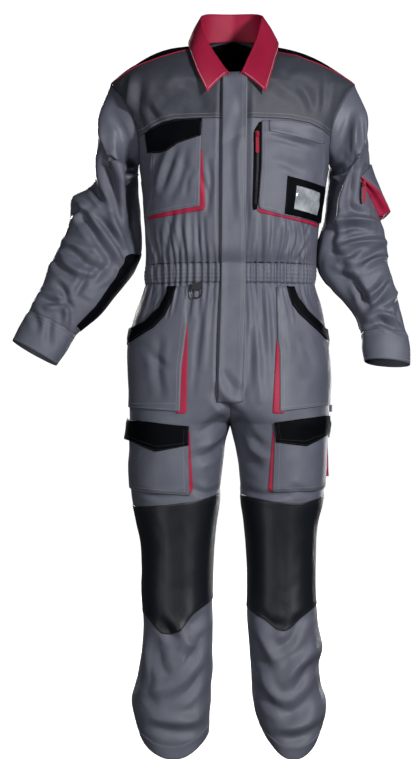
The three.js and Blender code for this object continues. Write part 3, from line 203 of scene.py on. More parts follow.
# Main folds, each as depth, width and its line in front view. A negative depth is a ridge.
FOLDS = {
    "upper": [
        (9, 12, (-192, 1478), (-199, 1428), (-200, 1403), (-192, 1379), (-183, 1364)),
        (6, 9, (206, 1488), (202, 1439), (196, 1403)),
        (-3, 9, (-213, 1484), (-219, 1439), (-228, 1390)),
        (3, 8, (-112, 1322), (-125, 1289), (-142, 1242)),
        (3, 7, (-151, 1311), (-162, 1283), (-168, 1257)),
        (-2.5, 7, (-130, 1322), (-145, 1279), (-157, 1232)),
        (2.5, 9, (-95, 1317), (-104, 1268), (-125, 1219)),
        (3, 6, (-83, 1274), (-91, 1253), (-95, 1223)),
        (3.5, 5, (-63, 1268), (-53, 1232), (-48, 1210)),
        (3, 6, (-48, 1300), (-44, 1247), (-50, 1182)),
        (-3, 7, (-95, 1189), (-95, 1140), (-87, 1090)),
        (4, 4.5, (-59, 1182), (-57, 1140), (-55, 1082)),
        (3, 6, (-125, 1189), (-134, 1146), (-140, 1097)),
        (-3, 6, (-112, 1185), (-117, 1146), (-119, 1103)),
        (3, 5, (-72, 1189), (-70, 1140), (-74, 1095)),
        (3.5, 6, (-172, 1167), (-168, 1129), (-155, 1082)),
        (-3, 6, (-181, 1185), (-179, 1146), (-168, 1095)),
        (3, 5, (-155, 1150), (-149, 1116), (-136, 1082)),
        (4, 4.5, (63, 1189), (65, 1140), (63, 1082)),
        (4, 4.5, (93, 1187), (91, 1133), (89, 1082)),
        (-3, 6, (78, 1189), (78, 1140), (76, 1090)),
        (3, 5, (119, 1185), (127, 1146), (121, 1108)),
        (-3, 6, (106, 1185), (112, 1140), (108, 1097)),
        (4, 5, (172, 1129), (157, 1108), (138, 1084)),
        (3, 6, (155, 1176), (161, 1146), (172, 1120)),
        (-3, 6, (144, 1180), (155, 1138), (149, 1095)),
        (3.5, 5, (140, 1167), (149, 1129), (131, 1090)),
        (3, 6, (35, 1215), (37, 1161), (33, 1090)),
        (-2, 8, (20, 1386), (16, 1279), (20, 1172)),
        (2.5, 12, (149, 1471), (166, 1439), (179, 1403)),
        (-2, 14, (67, 1482), (116, 1450), (149, 1428)),
        (2.5, 14, (3, 1461), (20, 1407), (12, 1343)),
        (3, 14, (-108, 1461), (-74, 1439), (-53, 1407)),
        (-2.5, 13, (-172, 1439), (-155, 1411), (-125, 1394)),
        (2, 9, (-179, 1420), (-168, 1399), (-155, 1386)),
        (2, 8, (80, 1347), (116, 1341), (174, 1328)),
        (-1.5, 6, (80, 1358), (127, 1349), (179, 1341)),
        (2.5, 12, (89, 1300), (127, 1287), (159, 1274)),
    ],
    "legs": [
        (5, 7, (-63, 994), (-65, 958), (-72, 904), (-76, 847), (-80, 797)),
        (-3, 7, (-53, 1001), (-53, 937), (-59, 851)),
        (6, 6, (91, 1033), (91, 979), (93, 915), (95, 851)),
        (5, 7, (59, 1001), (65, 937), (67, 894)),
        (-3, 6, (76, 1022), (80, 958), (85, 889)),
        (6, 9, (42, 937), (40, 872), (35, 819), (25, 782)),
        (-3, 8, (55, 937), (59, 862), (63, 787)),
        (3, 5, (-93, 1009), (-91, 988), (-93, 969)),
        (3.5, 5, (-44, 1035), (-40, 1014), (-35, 992)),
        (3, 6, (-145, 1022), (-151, 1001), (-160, 969)),
        (3, 6, (-162, 1018), (-170, 990), (-179, 962)),
        (3, 7, (160, 1022), (175, 1001), (192, 975)),
        (3, 6, (145, 1027), (155, 1007), (166, 988)),
        (3, 9, (-18, 847), (3, 819), (20, 804)),
        (-2.5, 9, (-27, 829), (-10, 795), (16, 778)),
        (3, 10, (-40, 804), (-18, 778), (12, 761)),
        (3, 10, (-5, 757), (-35, 735), (-65, 718)),
        (-2.5, 10, (3, 744), (-18, 709), (-57, 684)),
        (4, 11, (-10, 701), (-35, 675), (-74, 662)),
        (4, 12, (16, 748), (33, 709), (67, 688)),
        (3, 11, (12, 714), (33, 667), (67, 637)),
        (-3, 10, (20, 727), (46, 684), (80, 662)),
        (2.5, 10, (-151, 915), (-155, 862), (-147, 797)),
        (2.5, 9, (149, 919), (162, 894), (175, 862)),
        (-2, 10, (117, 937), (127, 894), (149, 847)),
        (2.5, 8, (-173, 894), (-160, 872), (-130, 859)),
        (2.5, 9, (-194, 589), (-151, 575), (-91, 579)),
        (-2.5, 7, (-183, 572), (-140, 562), (-87, 566)),
        (3, 8, (-83, 598), (-53, 585), (-10, 594)),
        (2.5, 9, (20, 598), (67, 581), (127, 585)),
        (-2.5, 7, (29, 577), (85, 566), (149, 570)),
        (3, 8, (132, 600), (170, 585), (205, 594)),
        (-3, 9, (-140, 547), (-138, 487), (-130, 412)),
        (2.5, 9, (-117, 547), (-113, 476), (-117, 401)),
        (3, 9, (-173, 540), (-155, 508), (-130, 476)),
        (3, 9, (-91, 530), (-108, 497), (-125, 465)),
        (-3, 9, (132, 547), (134, 476), (123, 401)),
        (2.5, 9, (110, 540), (108, 476), (115, 405)),
        (3, 9, (162, 540), (149, 504), (123, 476)),
        (2.5, 9, (85, 540), (102, 508), (123, 470)),
        (3, 10, (-168, 418), (-138, 388), (-100, 380)),
        (3, 10, (157, 412), (127, 380), (93, 371)),
        (-5, 14, (-181, 294), (-179, 240), (-175, 165)),
        (6, 11, (-168, 272), (-170, 208), (-175, 159), (-164, 135)),
        (-5, 14, (-91, 251), (-108, 208), (-138, 174), (-194, 150)),
        (6, 14, (-57, 281), (-78, 247), (-104, 212), (-134, 182)),
        (4, 12, (-53, 212), (-87, 165), (-130, 135)),
        (-4, 14, (-173, 105), (-128, 99), (-80, 97), (-53, 122)),
        (4, 11, (-168, 86), (-125, 77), (-74, 77)),
        (4, 12, (-151, 320), (-130, 285), (-95, 272)),
        (-4, 14, (-117, 311), (-100, 272), (-65, 251)),
        (4, 14, (-55, 358), (-65, 320), (-87, 294)),
        (3, 12, (-155, 251), (-147, 212), (-130, 191)),
        (5, 12, (40, 290), (59, 247), (80, 212)),
        (-4, 14, (55, 298), (80, 251), (97, 221)),
        (-5, 14, (190, 255), (162, 230), (140, 212), (121, 185)),
        (6, 12, (179, 221), (157, 191), (136, 163)),
        (-4, 14, (108, 82), (155, 88), (194, 116)),
        (4, 11, (97, 63), (149, 65), (196, 84)),
        (4, 12, (149, 311), (127, 272), (97, 251)),
        (-4, 12, (67, 204), (80, 165), (106, 140)),
        (4, 12, (63, 165), (89, 131), (127, 118)),
        (4, 14, (187, 165), (157, 135), (119, 110)),
        (3, 12, (59, 350), (80, 315), (115, 298)),
        (3, 12, (179, 350), (162, 324), (132, 307)),
    ],
    "sleeve_r": [
        (26, 20, (-222, 1352), (-208, 1305), (-204, 1240), (-204, 1185), (-210, 1120)),
        (12, 10, (-330, 1196), (-300, 1150), (-268, 1105), (-246, 1072)),
        (11, 9, (-255, 1411), (-244, 1387), (-225, 1365), (-212, 1326)),
        (-5, 10, (-227, 1413), (-220, 1374), (-212, 1335)),
        (-4, 11, (-253, 1363), (-247, 1309), (-236, 1254)),
        (9, 8, (-275, 1309), (-264, 1278), (-253, 1248), (-247, 1217), (-240, 1158)),
        (-5, 10, (-266, 1330), (-244, 1276), (-236, 1221)),
        (-4, 9, (-288, 1330), (-279, 1269), (-266, 1211)),
        (11, 7, (-316, 1208), (-288, 1180), (-260, 1152), (-240, 1121), (-227, 1091)),
        (-6, 8, (-345, 1226), (-327, 1215), (-305, 1195), (-284, 1169)),
        (-4, 8, (-318, 1211), (-331, 1193), (-345, 1176)),
        (5, 8, (-301, 1265), (-292, 1239), (-275, 1215)),
        (-4, 9, (-262, 1195), (-247, 1160), (-236, 1126)),
        (5, 8, (-375, 1038), (-360, 1019), (-351, 993)),
        (5, 8, (-412, 1008), (-382, 997), (-351, 991)),
        (-4, 7, (-395, 986), (-375, 991), (-356, 984), (-355, 947)),
        (-4, 9, (-366, 1086), (-331, 1065), (-301, 1056)),
        (5, 9, (-349, 1113), (-318, 1086), (-284, 1069)),
        (-4, 9, (-371, 1139), (-336, 1121), (-301, 1113)),
        (4, 9, (-392, 1108), (-371, 1078), (-345, 1056)),
        (4, 8, (-310, 1069), (-318, 1043), (-336, 1012)),
        (4, 9, (-257, 1095), (-275, 1065), (-301, 1043)),
        (3, 8, (-436, 982), (-423, 964), (-414, 938)),
        (3, 8, (-388, 960), (-392, 938), (-392, 906)),
    ],
    "sleeve_l": [
        (9, 10, (236, 1290), (226, 1225), (219, 1150), (220, 1100)),
        (13, 11, (222, 1318), (233, 1345), (249, 1375), (262, 1406)),
        (-6, 8, (270, 1404), (275, 1350), (279, 1300)),
        (18, 14, (222, 1100), (238, 1068), (262, 1032), (286, 992)),
        (11, 10, (238, 1286), (228, 1238), (212, 1199), (206, 1168)),
        (-5, 10, (264, 1394), (267, 1329), (260, 1268)),
        (8, 9, (234, 1412), (217, 1377), (204, 1346)),
        (-4, 10, (251, 1264), (243, 1210), (230, 1166)),
        (5, 10, (273, 1329), (264, 1281), (254, 1229)),
        (8, 9, (230, 1153), (251, 1157), (273, 1162), (319, 1157)),
        (-6, 9, (221, 1173), (249, 1179), (286, 1177), (321, 1173)),
        (-5, 8, (236, 1114), (264, 1125), (304, 1129), (338, 1131)),
        (9, 8, (243, 1134), (273, 1142), (308, 1147), (338, 1149)),
        (8, 7, (230, 1103), (249, 1099), (273, 1105)),
        (-5, 9, (225, 1086), (238, 1068), (264, 1064)),
        (-6, 8, (286, 1073), (314, 1088), (343, 1099)),
        (8, 8, (278, 1086), (299, 1099), (334, 1112)),
        (10, 7, (351, 1044), (338, 1027), (325, 1012), (310, 997), (295, 984)),
        (-6, 8, (338, 1055), (321, 1029), (295, 1008)),
        (-4, 8, (364, 1025), (347, 1003), (325, 986)),
        (6, 9, (312, 968), (343, 949), (373, 936)),
        (7, 6, (299, 945), (323, 953), (343, 945)),
        (-4, 7, (295, 962), (321, 971), (351, 964)),
        (5, 8, (264, 1038), (282, 1016), (295, 990)),
        (-4, 9, (247, 1055), (264, 1025), (278, 990)),
        (5, 8, (364, 990), (369, 968), (377, 947)),
        (4, 9, (251, 1220), (264, 1203), (295, 1190)),
    ],
}
FOLD_GAIN = 2.3  # how much deeper the folds are made than the tables say
FOLD_STEEP = {"upper": 0.62, "legs": 0.5, "sleeve": 1.3, "waist": 0.95}  # most depth of a fold for its width
FOLD_REACH = 3.2  # how far a fold is felt, in widths
FRONT_INSET = 10.95  # where the shoulder inset starts in front, away from the neck
EDGE_TUCK = 2.4  # how far a panel's edge turns in at a seam
STITCH = {"pitch": 3.6, "length": 2.6, "width": 0.55, "height": 0.35, "sunk": 0.25}
rng = np.random.default_rng(7)


def cubic(a, b, c, d, f):
    """Catmull-Rom from b to c."""
    return 0.5 * (2 * b + (c - a) * f + (2 * a - 5 * b + 4 * c - d) * f**2 + (3 * b - a - 3 * c + d) * f**3)


def through(values, row):
    """Catmull-Rom through a column of a table, at rows that need not be whole."""
    last = len(values) - 1
    row = np.asarray(row, float)
    i = np.clip(np.floor(row).astype(int), 0, last - 1)
    f = row - i
    b, c = values[i], values[i + 1]
    a = np.where(i > 0, values[np.maximum(i - 1, 0)], 2 * b - c)
    d = np.where(i + 2 <= last, values[np.minimum(i + 2, last)], 2 * c - b)
    return cubic(a, b, c, d, f)


def lean(z):
    return np.interp(z, LEAN["z"], LEAN["x"])


def rest(share):
    """The other coordinate of the rounded section, for a share of its half width."""
    return np.maximum(0, 1 - np.abs(share) ** SQUARE) ** (1 / SQUARE)


def smooth(t):
    t = np.clip(t, 0, 1)
    return t * t * (3 - 2 * t)


def stack(x, y, z):
    return np.stack(np.broadcast_arrays(x, y, z), -1).astype(float)


def both(a, b):
    """Two arrays of numbers, brought to one shape."""
    return np.broadcast_arrays(np.asarray(a, float), np.asarray(b, float))


def lerp(a, b, t):
    return a + (b - a) * t


def across(count, start=0.0, end=1.0):
    return np.linspace(start, end, count)


def unit(v):
    return v / np.maximum(np.linalg.norm(v, axis=-1, keepdims=True), 1e-9)


def run_along(p):
    """Distance from the start at each point of a line."""
    return np.concatenate([[0], np.cumsum(np.linalg.norm(np.diff(p, axis=0), axis=-1))])


def on_line(values, run, at):
    """Points or normals of a line at the given distances."""
    return np.stack([np.interp(at, run, values[:, k]) for k in range(3)], -1)


# Surfaces: each gives points for arrays of u and row.
def upper(side, rows):
    def at(u, row):
        share = np.sin(u * math.pi / 2)
        cx, cy, cz, sx, sy, sz = (through(rows[k], row) for k in EDGE.split())
        arch = SHOULDER_ARCH[side] * smooth((row - 7) / 5) * np.sin(math.pi * np.minimum(1, share))
        z = cz + (sz - cz) * share + arch
        return stack(SIGN[side] * (cx + (sx - cx) * share) + lean(z), sy + (cy - sy) * rest(share), z)

    return at


def leg_section(side, row):
    split = np.clip(through(LEGS["split"], row), 0, 1)
    out = through(LEGS["outer_" + side], row)
    gap = np.maximum(0, through(LEGS["inner_" + side], row))
    half = (out - gap) / (1 + split)
    front, back = through(LEGS["front"], row), through(LEGS["back"], row)
    return split, half, out - half, (front + back) / 2, (back - front) / 2


def leg(side):
    def at(u, row):
        split, half, centre, mid_y, depth = leg_section(side, row)
        angle = (2 * u - 1) * (math.pi / 2 + np.arcsin(split))
        share = np.cos(angle)
        share = np.where((share < 0) & (split == 0), 0, share)
        y = mid_y + np.sign(angle) * depth * rest(share)
        tilt = np.maximum(0, through(LEGS["tilt"], row))
        z = through(LEGS["z"], row) + tilt * y * (np.abs(y) / depth) ** HEM_CURVE
        return stack(SIGN[side] * (centre + half * share), y, z)

    return at


def sleeve(side):
    data = SLEEVE_R if side == "r" else SLEEVE_L
    count = len(data["half"])

    def pick(name, k):
        return data[name][np.clip(k, 0, count - 1)]

    def centre(k):
        return stack(
            (pick("outer_x", k) + pick("inner_x", k)) / 2,
            pick("mid_y", k),
            (pick("outer_z", k) + pick("inner_z", k)) / 2,
        )

    def ring(k, u):
        turn = 2 * math.pi * u
        out = stack(
            (pick("outer_x", k) - pick("inner_x", k)) / 2,
            0,
            (pick("outer_z", k) - pick("inner_z", k)) / 2,
        )
        forward = np.cross(centre(k + 1) - centre(k - 1), out)
        forward /= np.linalg.norm(forward, axis=-1, keepdims=True)
        forward = np.where(forward[..., 1:2] > 0, -forward, forward)
        p = centre(k) - out * np.cos(turn)[..., None] + forward * (pick("half", k) * np.sin(turn))[..., None]
        p[..., 0] *= SIGN[side]
        return p

    front, back = upper(side, FRONT), upper(side, BACK)

    def armhole(u):
        one = np.ones_like(u)
        over = front(one, UNDERARM + (RIDGE - UNDERARM) * 2 * np.minimum(u, 0.5))
        under = back(one, RIDGE - (RIDGE - UNDERARM) * (2 * np.maximum(u, 0.5) - 1))
        return np.where((u <= 0.5)[..., None], over, under)

    def station(k, u):
        return np.where((k <= 0)[..., None], armhole(u), ring(np.minimum(k, count) - 1, u))

    def at(u, row):
        u, row = both(np.asarray(u, float) % 1.0, row)
        i = np.clip(np.floor(row).astype(int), 0, count - 1)
        f = (row - i)[..., None]
        a, b, c, d = (station(i + step, u) for step in (-1, 0, 1, 2))
        a = np.where((i == 0)[..., None], 2 * b - c, a)
        d = np.where((i == count - 1)[..., None], 2 * c - b, d)
        return cubic(a, b, c, d, f)

    return at


def body_axis(p, u, row):
    return stack(lean(p[..., 2]), 0, np.minimum(p[..., 2], 1400))


def leg_axis(side):
    return lambda p, u, row: stack(SIGN[side] * np.where(p[..., 2] > 760, 60, 115), 0, p[..., 2])


def sleeve_axis(side):
    at = sleeve(side)

    def axis(p, u, row):
        row = np.maximum(row, 0.3)
        return sum(at(np.full_like(row, turn), row) for turn in (0, 0.25, 0.5, 0.75)) / 4

    return axis


def normals(at, inside, limits, u, row):
    u0, u1, r0, r1 = limits
    across = at(np.minimum(u + 0.006, u1), row) - at(np.maximum(u - 0.006, u0), row)
    down = at(u, np.minimum(row + 0.03, r1)) - at(u, np.maximum(row - 0.03, r0))
    n = unit(np.cross(across, down))
    p = at(u, row)
    away = np.sum(n * (p - inside(p, u, row)), -1, keepdims=True)
    return p, np.where(away < 0, -n, n)


# Places of the creases at the elastic waist, along the front
WAIST_FRONT = [
    -166, -155, -147, -134, -119, -109, -94, -81, -64, -51, -36,
    32, 41, 52, 63, 80, 97, 107, 113, 124, 132, 151,
]
WAIST_BACK_COUNT = 27


def waist_creases():
    """Creases where the waistband's stitching pinches the cloth."""
    creases = []
    back = across(WAIST_BACK_COUNT, -160, 160) + rng.uniform(-4, 4, WAIST_BACK_COUNT)
    for face, places in ((-1, WAIST_FRONT), (1, back)):
        for x in places:
            rise, drop = rng.uniform(30, 105), rng.uniform(30, 100)
            spread = 1 + 0.0016 * np.array([rise, drop])
            depth = rng.uniform(2.0, 3.2)
            line = [(x * spread[0], BAND_TOP + rise), (x, BAND_TOP), (x, BAND_BOTTOM)]
            line.append((x * spread[1], BAND_BOTTOM - drop))
            creases.append((depth, rng.uniform(2.8, 4.4), face, *line))
    return creases


def shadowed(folds, face, shift):
    """The folds of the front again on the hidden side, moved and a little softer."""
    dx, dz = shift
    return [(0.8 * d, 1.15 * w, face, *((x + dx, z + dz) for x, z in line)) for d, w, *line in folds]


WAIST = waist_creases()
HIDDEN_SHIFT = {"upper": (6, -14), "legs": (-5, 12), "sleeve_r": (4, -10), "sleeve_l": (-4, -12)}
BODY = {
    name: [(d, w, -1, *line) for d, w, *line in FOLDS[name]] + shadowed(FOLDS[name], 1, shift)
    for name, shift in HIDDEN_SHIFT.items()
}

# Where the fronts dip beside the placket: depth, width, face and line
EDGES = {
    "upper": [
        (3.2, 5, -1, (-20, 1484), (-22, 1386), (-24, 1105), (-24, 1083)),
        (1.6, 5, -1, (38, 1470), (36, 1386), (34, 1105)),
    ],
    "legs": [
        (3.2, 5, -1, (-25, 1034), (-28, 893), (-31, 788)),
        (1.6, 5, -1, (34, 1034), (30, 893), (27, 800)),
    ],
}


def finer(line):
    line = np.array(line, float)
    t = np.linspace(0, len(line) - 1, 4 * len(line))
    return np.stack([through(line[:, 0], t), through(line[:, 1], t)], -1)


def relief(folds, p, n, steep):
    """How far folds move points out. Each is a soft trough with low lips, or a ridge where its depth is
    under 0."""
    out = np.zeros(p.shape[:-1])
    x, z = p[..., 0], p[..., 2]
    for depth, width, face, *line in folds:
        facing = np.clip(n[..., 1] * face * 2.2 + 0.15, 0, 1)
        line = finer(line)
        low, high = line.min(0) - FOLD_REACH * width, line.max(0) + FOLD_REACH * width
        near = (x > low[0]) & (x < high[0]) & (z > low[1]) & (z < high[1]) & (facing > 0)
        if not near.any():
            continue
        px, pz = x[near], z[near]
        steps = np.diff(line, axis=0)
        lengths = np.hypot(*steps.T)
        starts = np.concatenate([[0], np.cumsum(lengths)])
        best = np.full(px.shape, 1e9)
        along = np.zeros(px.shape)
        for k, (sx, sz) in enumerate(steps):
            t = np.clip(((px - line[k, 0]) * sx + (pz - line[k, 1]) * sz) / max(lengths[k] ** 2, 1e-9), 0, 1)
            away = np.hypot(px - line[k, 0] - t * sx, pz - line[k, 1] - t * sz)
            closer = away < best
            best = np.where(closer, away, best)
            along = np.where(closer, starts[k] + t * lengths[k], along)
        share = along / starts[-1]
        taper = np.sqrt(np.sin(math.pi * np.clip(0.03 + 0.94 * share, 0, 1)))
        a = best / width
        shape = np.exp(-(a**1.5)) - 0.3 * np.exp(-1.6 * (a - 1.75) ** 2)
        deep = math.copysign(min(FOLD_GAIN * abs(depth), steep * width), depth)
        out[near] -= deep * facing[near] * taper * shape
    return out


WAVES = [
    (unit(rng.normal(size=3) * (1, 1, 0.55)) * 2 * math.pi / length, rng.uniform(0, 6.28), 0.0045 * length)
    for length in rng.uniform(22, 150, 34)
]


def scattered():
    """Small creases all over: place, way across, way along, depth, width and length."""
    creases = []
    for count, low, high, tilt, strength in (
        (70, (-230, -150, 1100), (230, 150, 1540), 1.1, 0.5),
        (70, (-420, -90, 900), (-190, 90, 1420), 0.6, 0.7),
        (70, (190, -110, 880), (400, 90, 1420), 0.6, 0.7),
        (110, (-220, -140, 60), (220, 130, 1030), 1.3, 0.4),
    ):
        for _ in range(count):
            place = rng.uniform(low, high)
            along = unit(rng.normal(size=3) * (0.8, 0.5, tilt))
            over = unit(np.cross(along, rng.normal(size=3)))
            depth, width, length = rng.uniform(0.7, 2.2), rng.uniform(4, 9), rng.uniform(22, 60)
            creases.append((place, over, along, strength * depth, width, length))
    return creases


SCATTERED = scattered()


def crumple(p):
    """Unevenness of worn cloth, the same on pieces that meet."""
    out = sum(size * np.sin(p @ wave + phase) for wave, phase, size in WAVES) * 0.5
    for place, over, along, depth, width, length in SCATTERED:
        near = np.all(np.abs(p - place) < 2 * length, axis=-1)
        if not near.any():
            continue
        d = p[near] - place
        run = d @ along
        bow = 0.0035 * run**2
        a = (d @ over + bow) / width
        fade = np.exp(-((run / length) ** 2) * 1.6 - (np.linalg.norm(d, axis=-1) / (1.7 * length)) ** 4)
        out[near] -= depth * fade * (np.exp(-(a**2)) - 0.55 * np.exp(-1.3 * (np.abs(a) - 1.6) ** 2) * (a > 0))
    return out


def gathers(u, away, reach=22):
    """Fine gathers of the elastic, which fade with the distance from its seams."""
    uneven = 0.9 * np.sin(7 * u) + 0.5 * np.sin(17 * u)
    wave = 2 * np.abs(np.cos(math.pi * GATHERS * u + uneven)) ** 0.8 - 1
    return GATHER_DEPTH * wave * np.exp(-np.maximum(0, away) / reach)


# Dressed surfaces: points with normals, moved by their folds.
def on_upper(side, face):
    rows = FRONT if face < 0 else BACK
    at = upper(side, rows)

    def dress(u, row, lift=0.0):
        u, row = both(u, row)
        p, n = normals(at, body_axis, (0, 1, 0, RIDGE), u, row)
        middle = (u <= 0) & (row <= (FRONT_NECK if face < 0 else BACK_NECK))
        n = unit(np.where(middle[..., None], n * (0, 1, 1), n))
        hold = np.where(row > UNDERARM - 1, smooth((1 - u) / 0.1), 1)
        hold = hold * smooth((RIDGE - row) / 0.7)
        out = (relief(BODY["upper"], p, n, FOLD_STEEP["upper"]) + crumple(p)) * hold
        out += relief(WAIST, p, n, FOLD_STEEP["waist"])
        if face < 0:
            out += relief(EDGES["upper"], p, n, 1)
        out += gathers(u, p[..., 2] - BAND_TOP)
        return p + n * (out + lift)[..., None], n

    return dress


def on_leg(side):
    at = leg(side)

    def dress(u, row, lift=0.0):
        u, row = both(u, row)
        p, n = normals(at, leg_axis(side), (0, 1, 0, HEM), u, row)
        ends = (u <= 0) | (u >= 1)
        n = unit(np.where((ends & (row <= 10))[..., None], n * (0, 1, 1), n))
        inward = stack(np.full_like(u, -SIGN[side]), 0, n[..., 2] * 0.3)
        n = unit(np.where((ends & (row > 10))[..., None], inward, n))
        knee = smooth((592 - p[..., 2]) / 30) * smooth((p[..., 2] - 290) / 60)
        out = relief(BODY["legs"], p, n, FOLD_STEEP["legs"]) * (1 - 0.93 * knee)
        out += crumple(p) * (1 - 0.6 * knee)
        out += relief(WAIST, p, n, FOLD_STEEP["waist"]) + relief(EDGES["legs"], p, n, 1)
        quarter = np.where(u < 0.5, 2 * u, 2 - 2 * u)
        out += gathers(quarter, BAND_BOTTOM - p[..., 2])
        return p + n * (out + lift)[..., None], n

    return dress


def on_sleeve(side):
    at = sleeve(side)

    def dress(u, row, lift=0.0):
        u, row = both(u, row)
        p, n = normals(at, sleeve_axis(side), (-1, 2, 0, len(SLEEVE_R["half"])), u, row)
        out = (relief(BODY["sleeve_" + side], p, n, FOLD_STEEP["sleeve"]) + crumple(p)) * smooth(row / 0.9)
        return p + n * (out + lift)[..., None], n

    return dress


# Places on a surface from front view, by halving.
def solve(height, low, high):
    low, high = np.array(low, float), np.array(high, float)
    for _ in range(26):
        mid = (low + high) / 2
        under = height(mid) < 0
        low, high = np.where(under, mid, low), np.where(under, high, mid)
    return (low + high) / 2


def spot_upper(side, x, z):
    at = upper(side, FRONT)

    def share_at(row):
        cx, sx = through(FRONT["centre_x"], row), through(FRONT["side_x"], row)
        return np.clip((SIGN[side] * (x - lean(z)) - cx) / (sx - cx), 0, 1)

    def height(row):
        return at(2 / math.pi * np.arcsin(share_at(row)), row)[..., 2] - z

    row = solve(height, np.zeros_like(x), np.full_like(x, FRONT_END))
    return 2 / math.pi * np.arcsin(share_at(row)), row


def leg_row(z):
    """The row of the leg at a height."""
    rows = across(600, 0, HEM)
    return np.interp(-z, -through(LEGS["z"], rows), rows)


def spot_leg(side, x, z):
    row = leg_row(z)
    split, half, centre, _, _ = leg_section(side, row)
    share = np.clip((SIGN[side] * x - centre) / half, -1, 1)
    return (1 - np.arccos(share) / (math.pi / 2 + np.arcsin(split))) / 2, row


def seam_row(at, line, low, high, u):
    """The row at each u where a surface crosses a seam line drawn in front view."""
    line = np.array(line, float)

    def height(row):
        p = at(u, row)
        return p[..., 2] - np.interp(p[..., 0], line[:, 0], line[:, 1])

    return solve(height, np.full_like(u, low), np.full_like(u, high))


def sheet_between(first, last, us, count):
    """Grids of u and row between two seams, given as a row for each u."""
    t = across(count)[:, None]
    row = lerp(first[None, :], last[None, :], t)
    return np.broadcast_to(us, row.shape), row


# Meshes
def add_mesh(name, points, faces, look):
    """A mesh from points in millimetres, which rides the suit."""
    mesh = bpy.data.meshes.new(name)
    mesh.from_pydata(((points - (0, 0, SHOULDER_HEIGHT)) * MM).tolist(), [], faces)
    mesh.materials.append(look)
    obj = bpy.data.objects.new(name, mesh)
    bpy.context.scene.collection.objects.link(obj)
    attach(obj, "suit")
    return obj


BOX_FACES = np.array([(4, 5, 6, 7), (0, 1, 5, 4), (1, 2, 6, 5), (2, 3, 7, 6), (3, 0, 4, 7)])


def add_boxes(name, corners, look):
    """One mesh of small boxes without their hidden side, each given by its eight corners, lower first."""
    quads = (BOX_FACES[None] + 8 * np.arange(len(corners))[:, None, None]).reshape(-1, 4)
    return add_mesh(name, corners.reshape(-1, 3), quads.tolist(), look)


class Piece:
    """Grids of points gathered into one mesh. Points that meet are joined, and faces look along the
    normals."""

    def __init__(self):
        self.points, self.quads, self.uvs, self.count = [], [], [], 0

    def grid(self, p, n):
        rows, columns = p.shape[:2]
        index = self.count + np.arange(rows * columns).reshape(rows, columns)
        quads = np.stack([index[:-1, :-1], index[:-1, 1:], index[1:, 1:], index[1:, :-1]], -1).reshape(-1, 4)
        facing = np.cross(p[1:, 1:] - p[:-1, :-1], p[:-1, 1:] - p[1:, :-1])
        if np.sum(facing * n[:-1, :-1]) > 0:
            quads = quads[:, ::-1]
        width = np.linalg.norm(np.diff(p, axis=1), axis=-1).sum(1).mean()
        length = np.linalg.norm(np.diff(p, axis=0), axis=-1).sum(0).mean()
        s, t = np.meshgrid(across(columns, 0, width), across(rows, 0, length))
        self.points.append(p.reshape(-1, 3))
        self.uvs.append(np.stack([s, t], -1).reshape(-1, 2))
        self.quads.append(quads)
        self.count += rows * columns
        return self

    def slab(self, p, n, high, low):
        """A closed sheet from one offset to another, with a rounded rim."""
        top, bottom = p + n * high, p + n * low
        self.grid(top, n).grid(bottom, -n)
        middle = p + n * (high + low) / 2
        edges = ((slice(None), 0, 1), (slice(None), -1, -2), (0, slice(None), None), (-1, slice(None), None))
        for i, j, inner in edges:
            rim = np.stack([top[i, j], middle[i, j], bottom[i, j]])
            inside = p[i, inner] if inner is not None else p[1 if i == 0 else -2, j]
            out = unit(p[i, j] - inside)
            rim[1] += out * (high - low) / 3
            self.grid(rim, np.broadcast_to(out, rim.shape))
        return self

    def build(self, name, look):
        points = np.concatenate(self.points)
        quads = np.concatenate(self.quads)
        uvs = np.concatenate(self.uvs)
        keys, first, where = np.unique(np.round(points, 2), axis=0, return_index=True, return_inverse=True)
        joined = where.reshape(-1)[quads]
        faces = [list(dict.fromkeys(q)) for q in joined.tolist()]
        kept = [k for k, face in enumerate(faces) if len(face) > 2]
        obj = add_mesh(name, points[first], [faces[k] for k in kept], look)
        layer = obj.data.uv_layers.new(name="cloth")
        flat = np.concatenate([uvs[quads[k]][: len(faces[k])] for k in kept]) * MM
        layer.data.foreach_set("uv", flat.astype(np.float32).ravel())
        obj.data.polygons.foreach_set("use_smooth", [True] * len(obj.data.polygons))
        obj.data.update()
        return obj


def turned(grid, edge):
    """The grid with the named edge as its first row. It undoes itself."""
    if edge == "t":
        return grid
    if edge == "b":
        return grid[::-1]
    if edge == "l":
        return grid.swapaxes(0, 1)
    return grid[::-1, ::-1].swapaxes(0, 1)


def tucked(p, n, edges="tlbr", pull=0.7, deep=EDGE_TUCK):
    """Draws the named edges of a grid in and turns them under, which makes a valley at each seam."""
    for edge in edges:
        p, n = turned(p, edge), turned(n, edge)
        step = unit(p[1:2] - p[:1]) * pull
        under = [p[:1] - n[:1] * deep, p[:1] + step * 0.25 - n[:1] * deep * 0.3, p[:1] + step]
        p, n = np.concatenate([*under, p[1:]]), np.concatenate([n[:1], n[:1], n])
        p, n = turned(p, edge), turned(n, edge)
    return p, n


# Thread: short dashes along a line of points.
THREAD = {}


def thread(kind, p, n):
    """Adds dashes along a line. The kind is a mesh's name and its material."""
    pitch, half = STITCH["pitch"], STITCH["length"] / 2
    run = run_along(p)
    if run[-1] < 3 * pitch:
        return
    starts = np.arange(pitch / 2, run[-1] - pitch / 2, pitch)
    a, b = on_line(p, run, starts - half), on_line(p, run, starts + half)
    up = unit(on_line(n, run, starts))
    side = unit(np.cross(b - a, up)) * STITCH["width"] / 2
    top = up * STITCH["height"]
    low = -up * STITCH["sunk"]
    corners = [a + low + side, a + low - side, b + low - side, b + low + side]
    corners += [q - low + top for q in corners]
    THREAD.setdefault(kind, []).append(np.stack(corners, 1))


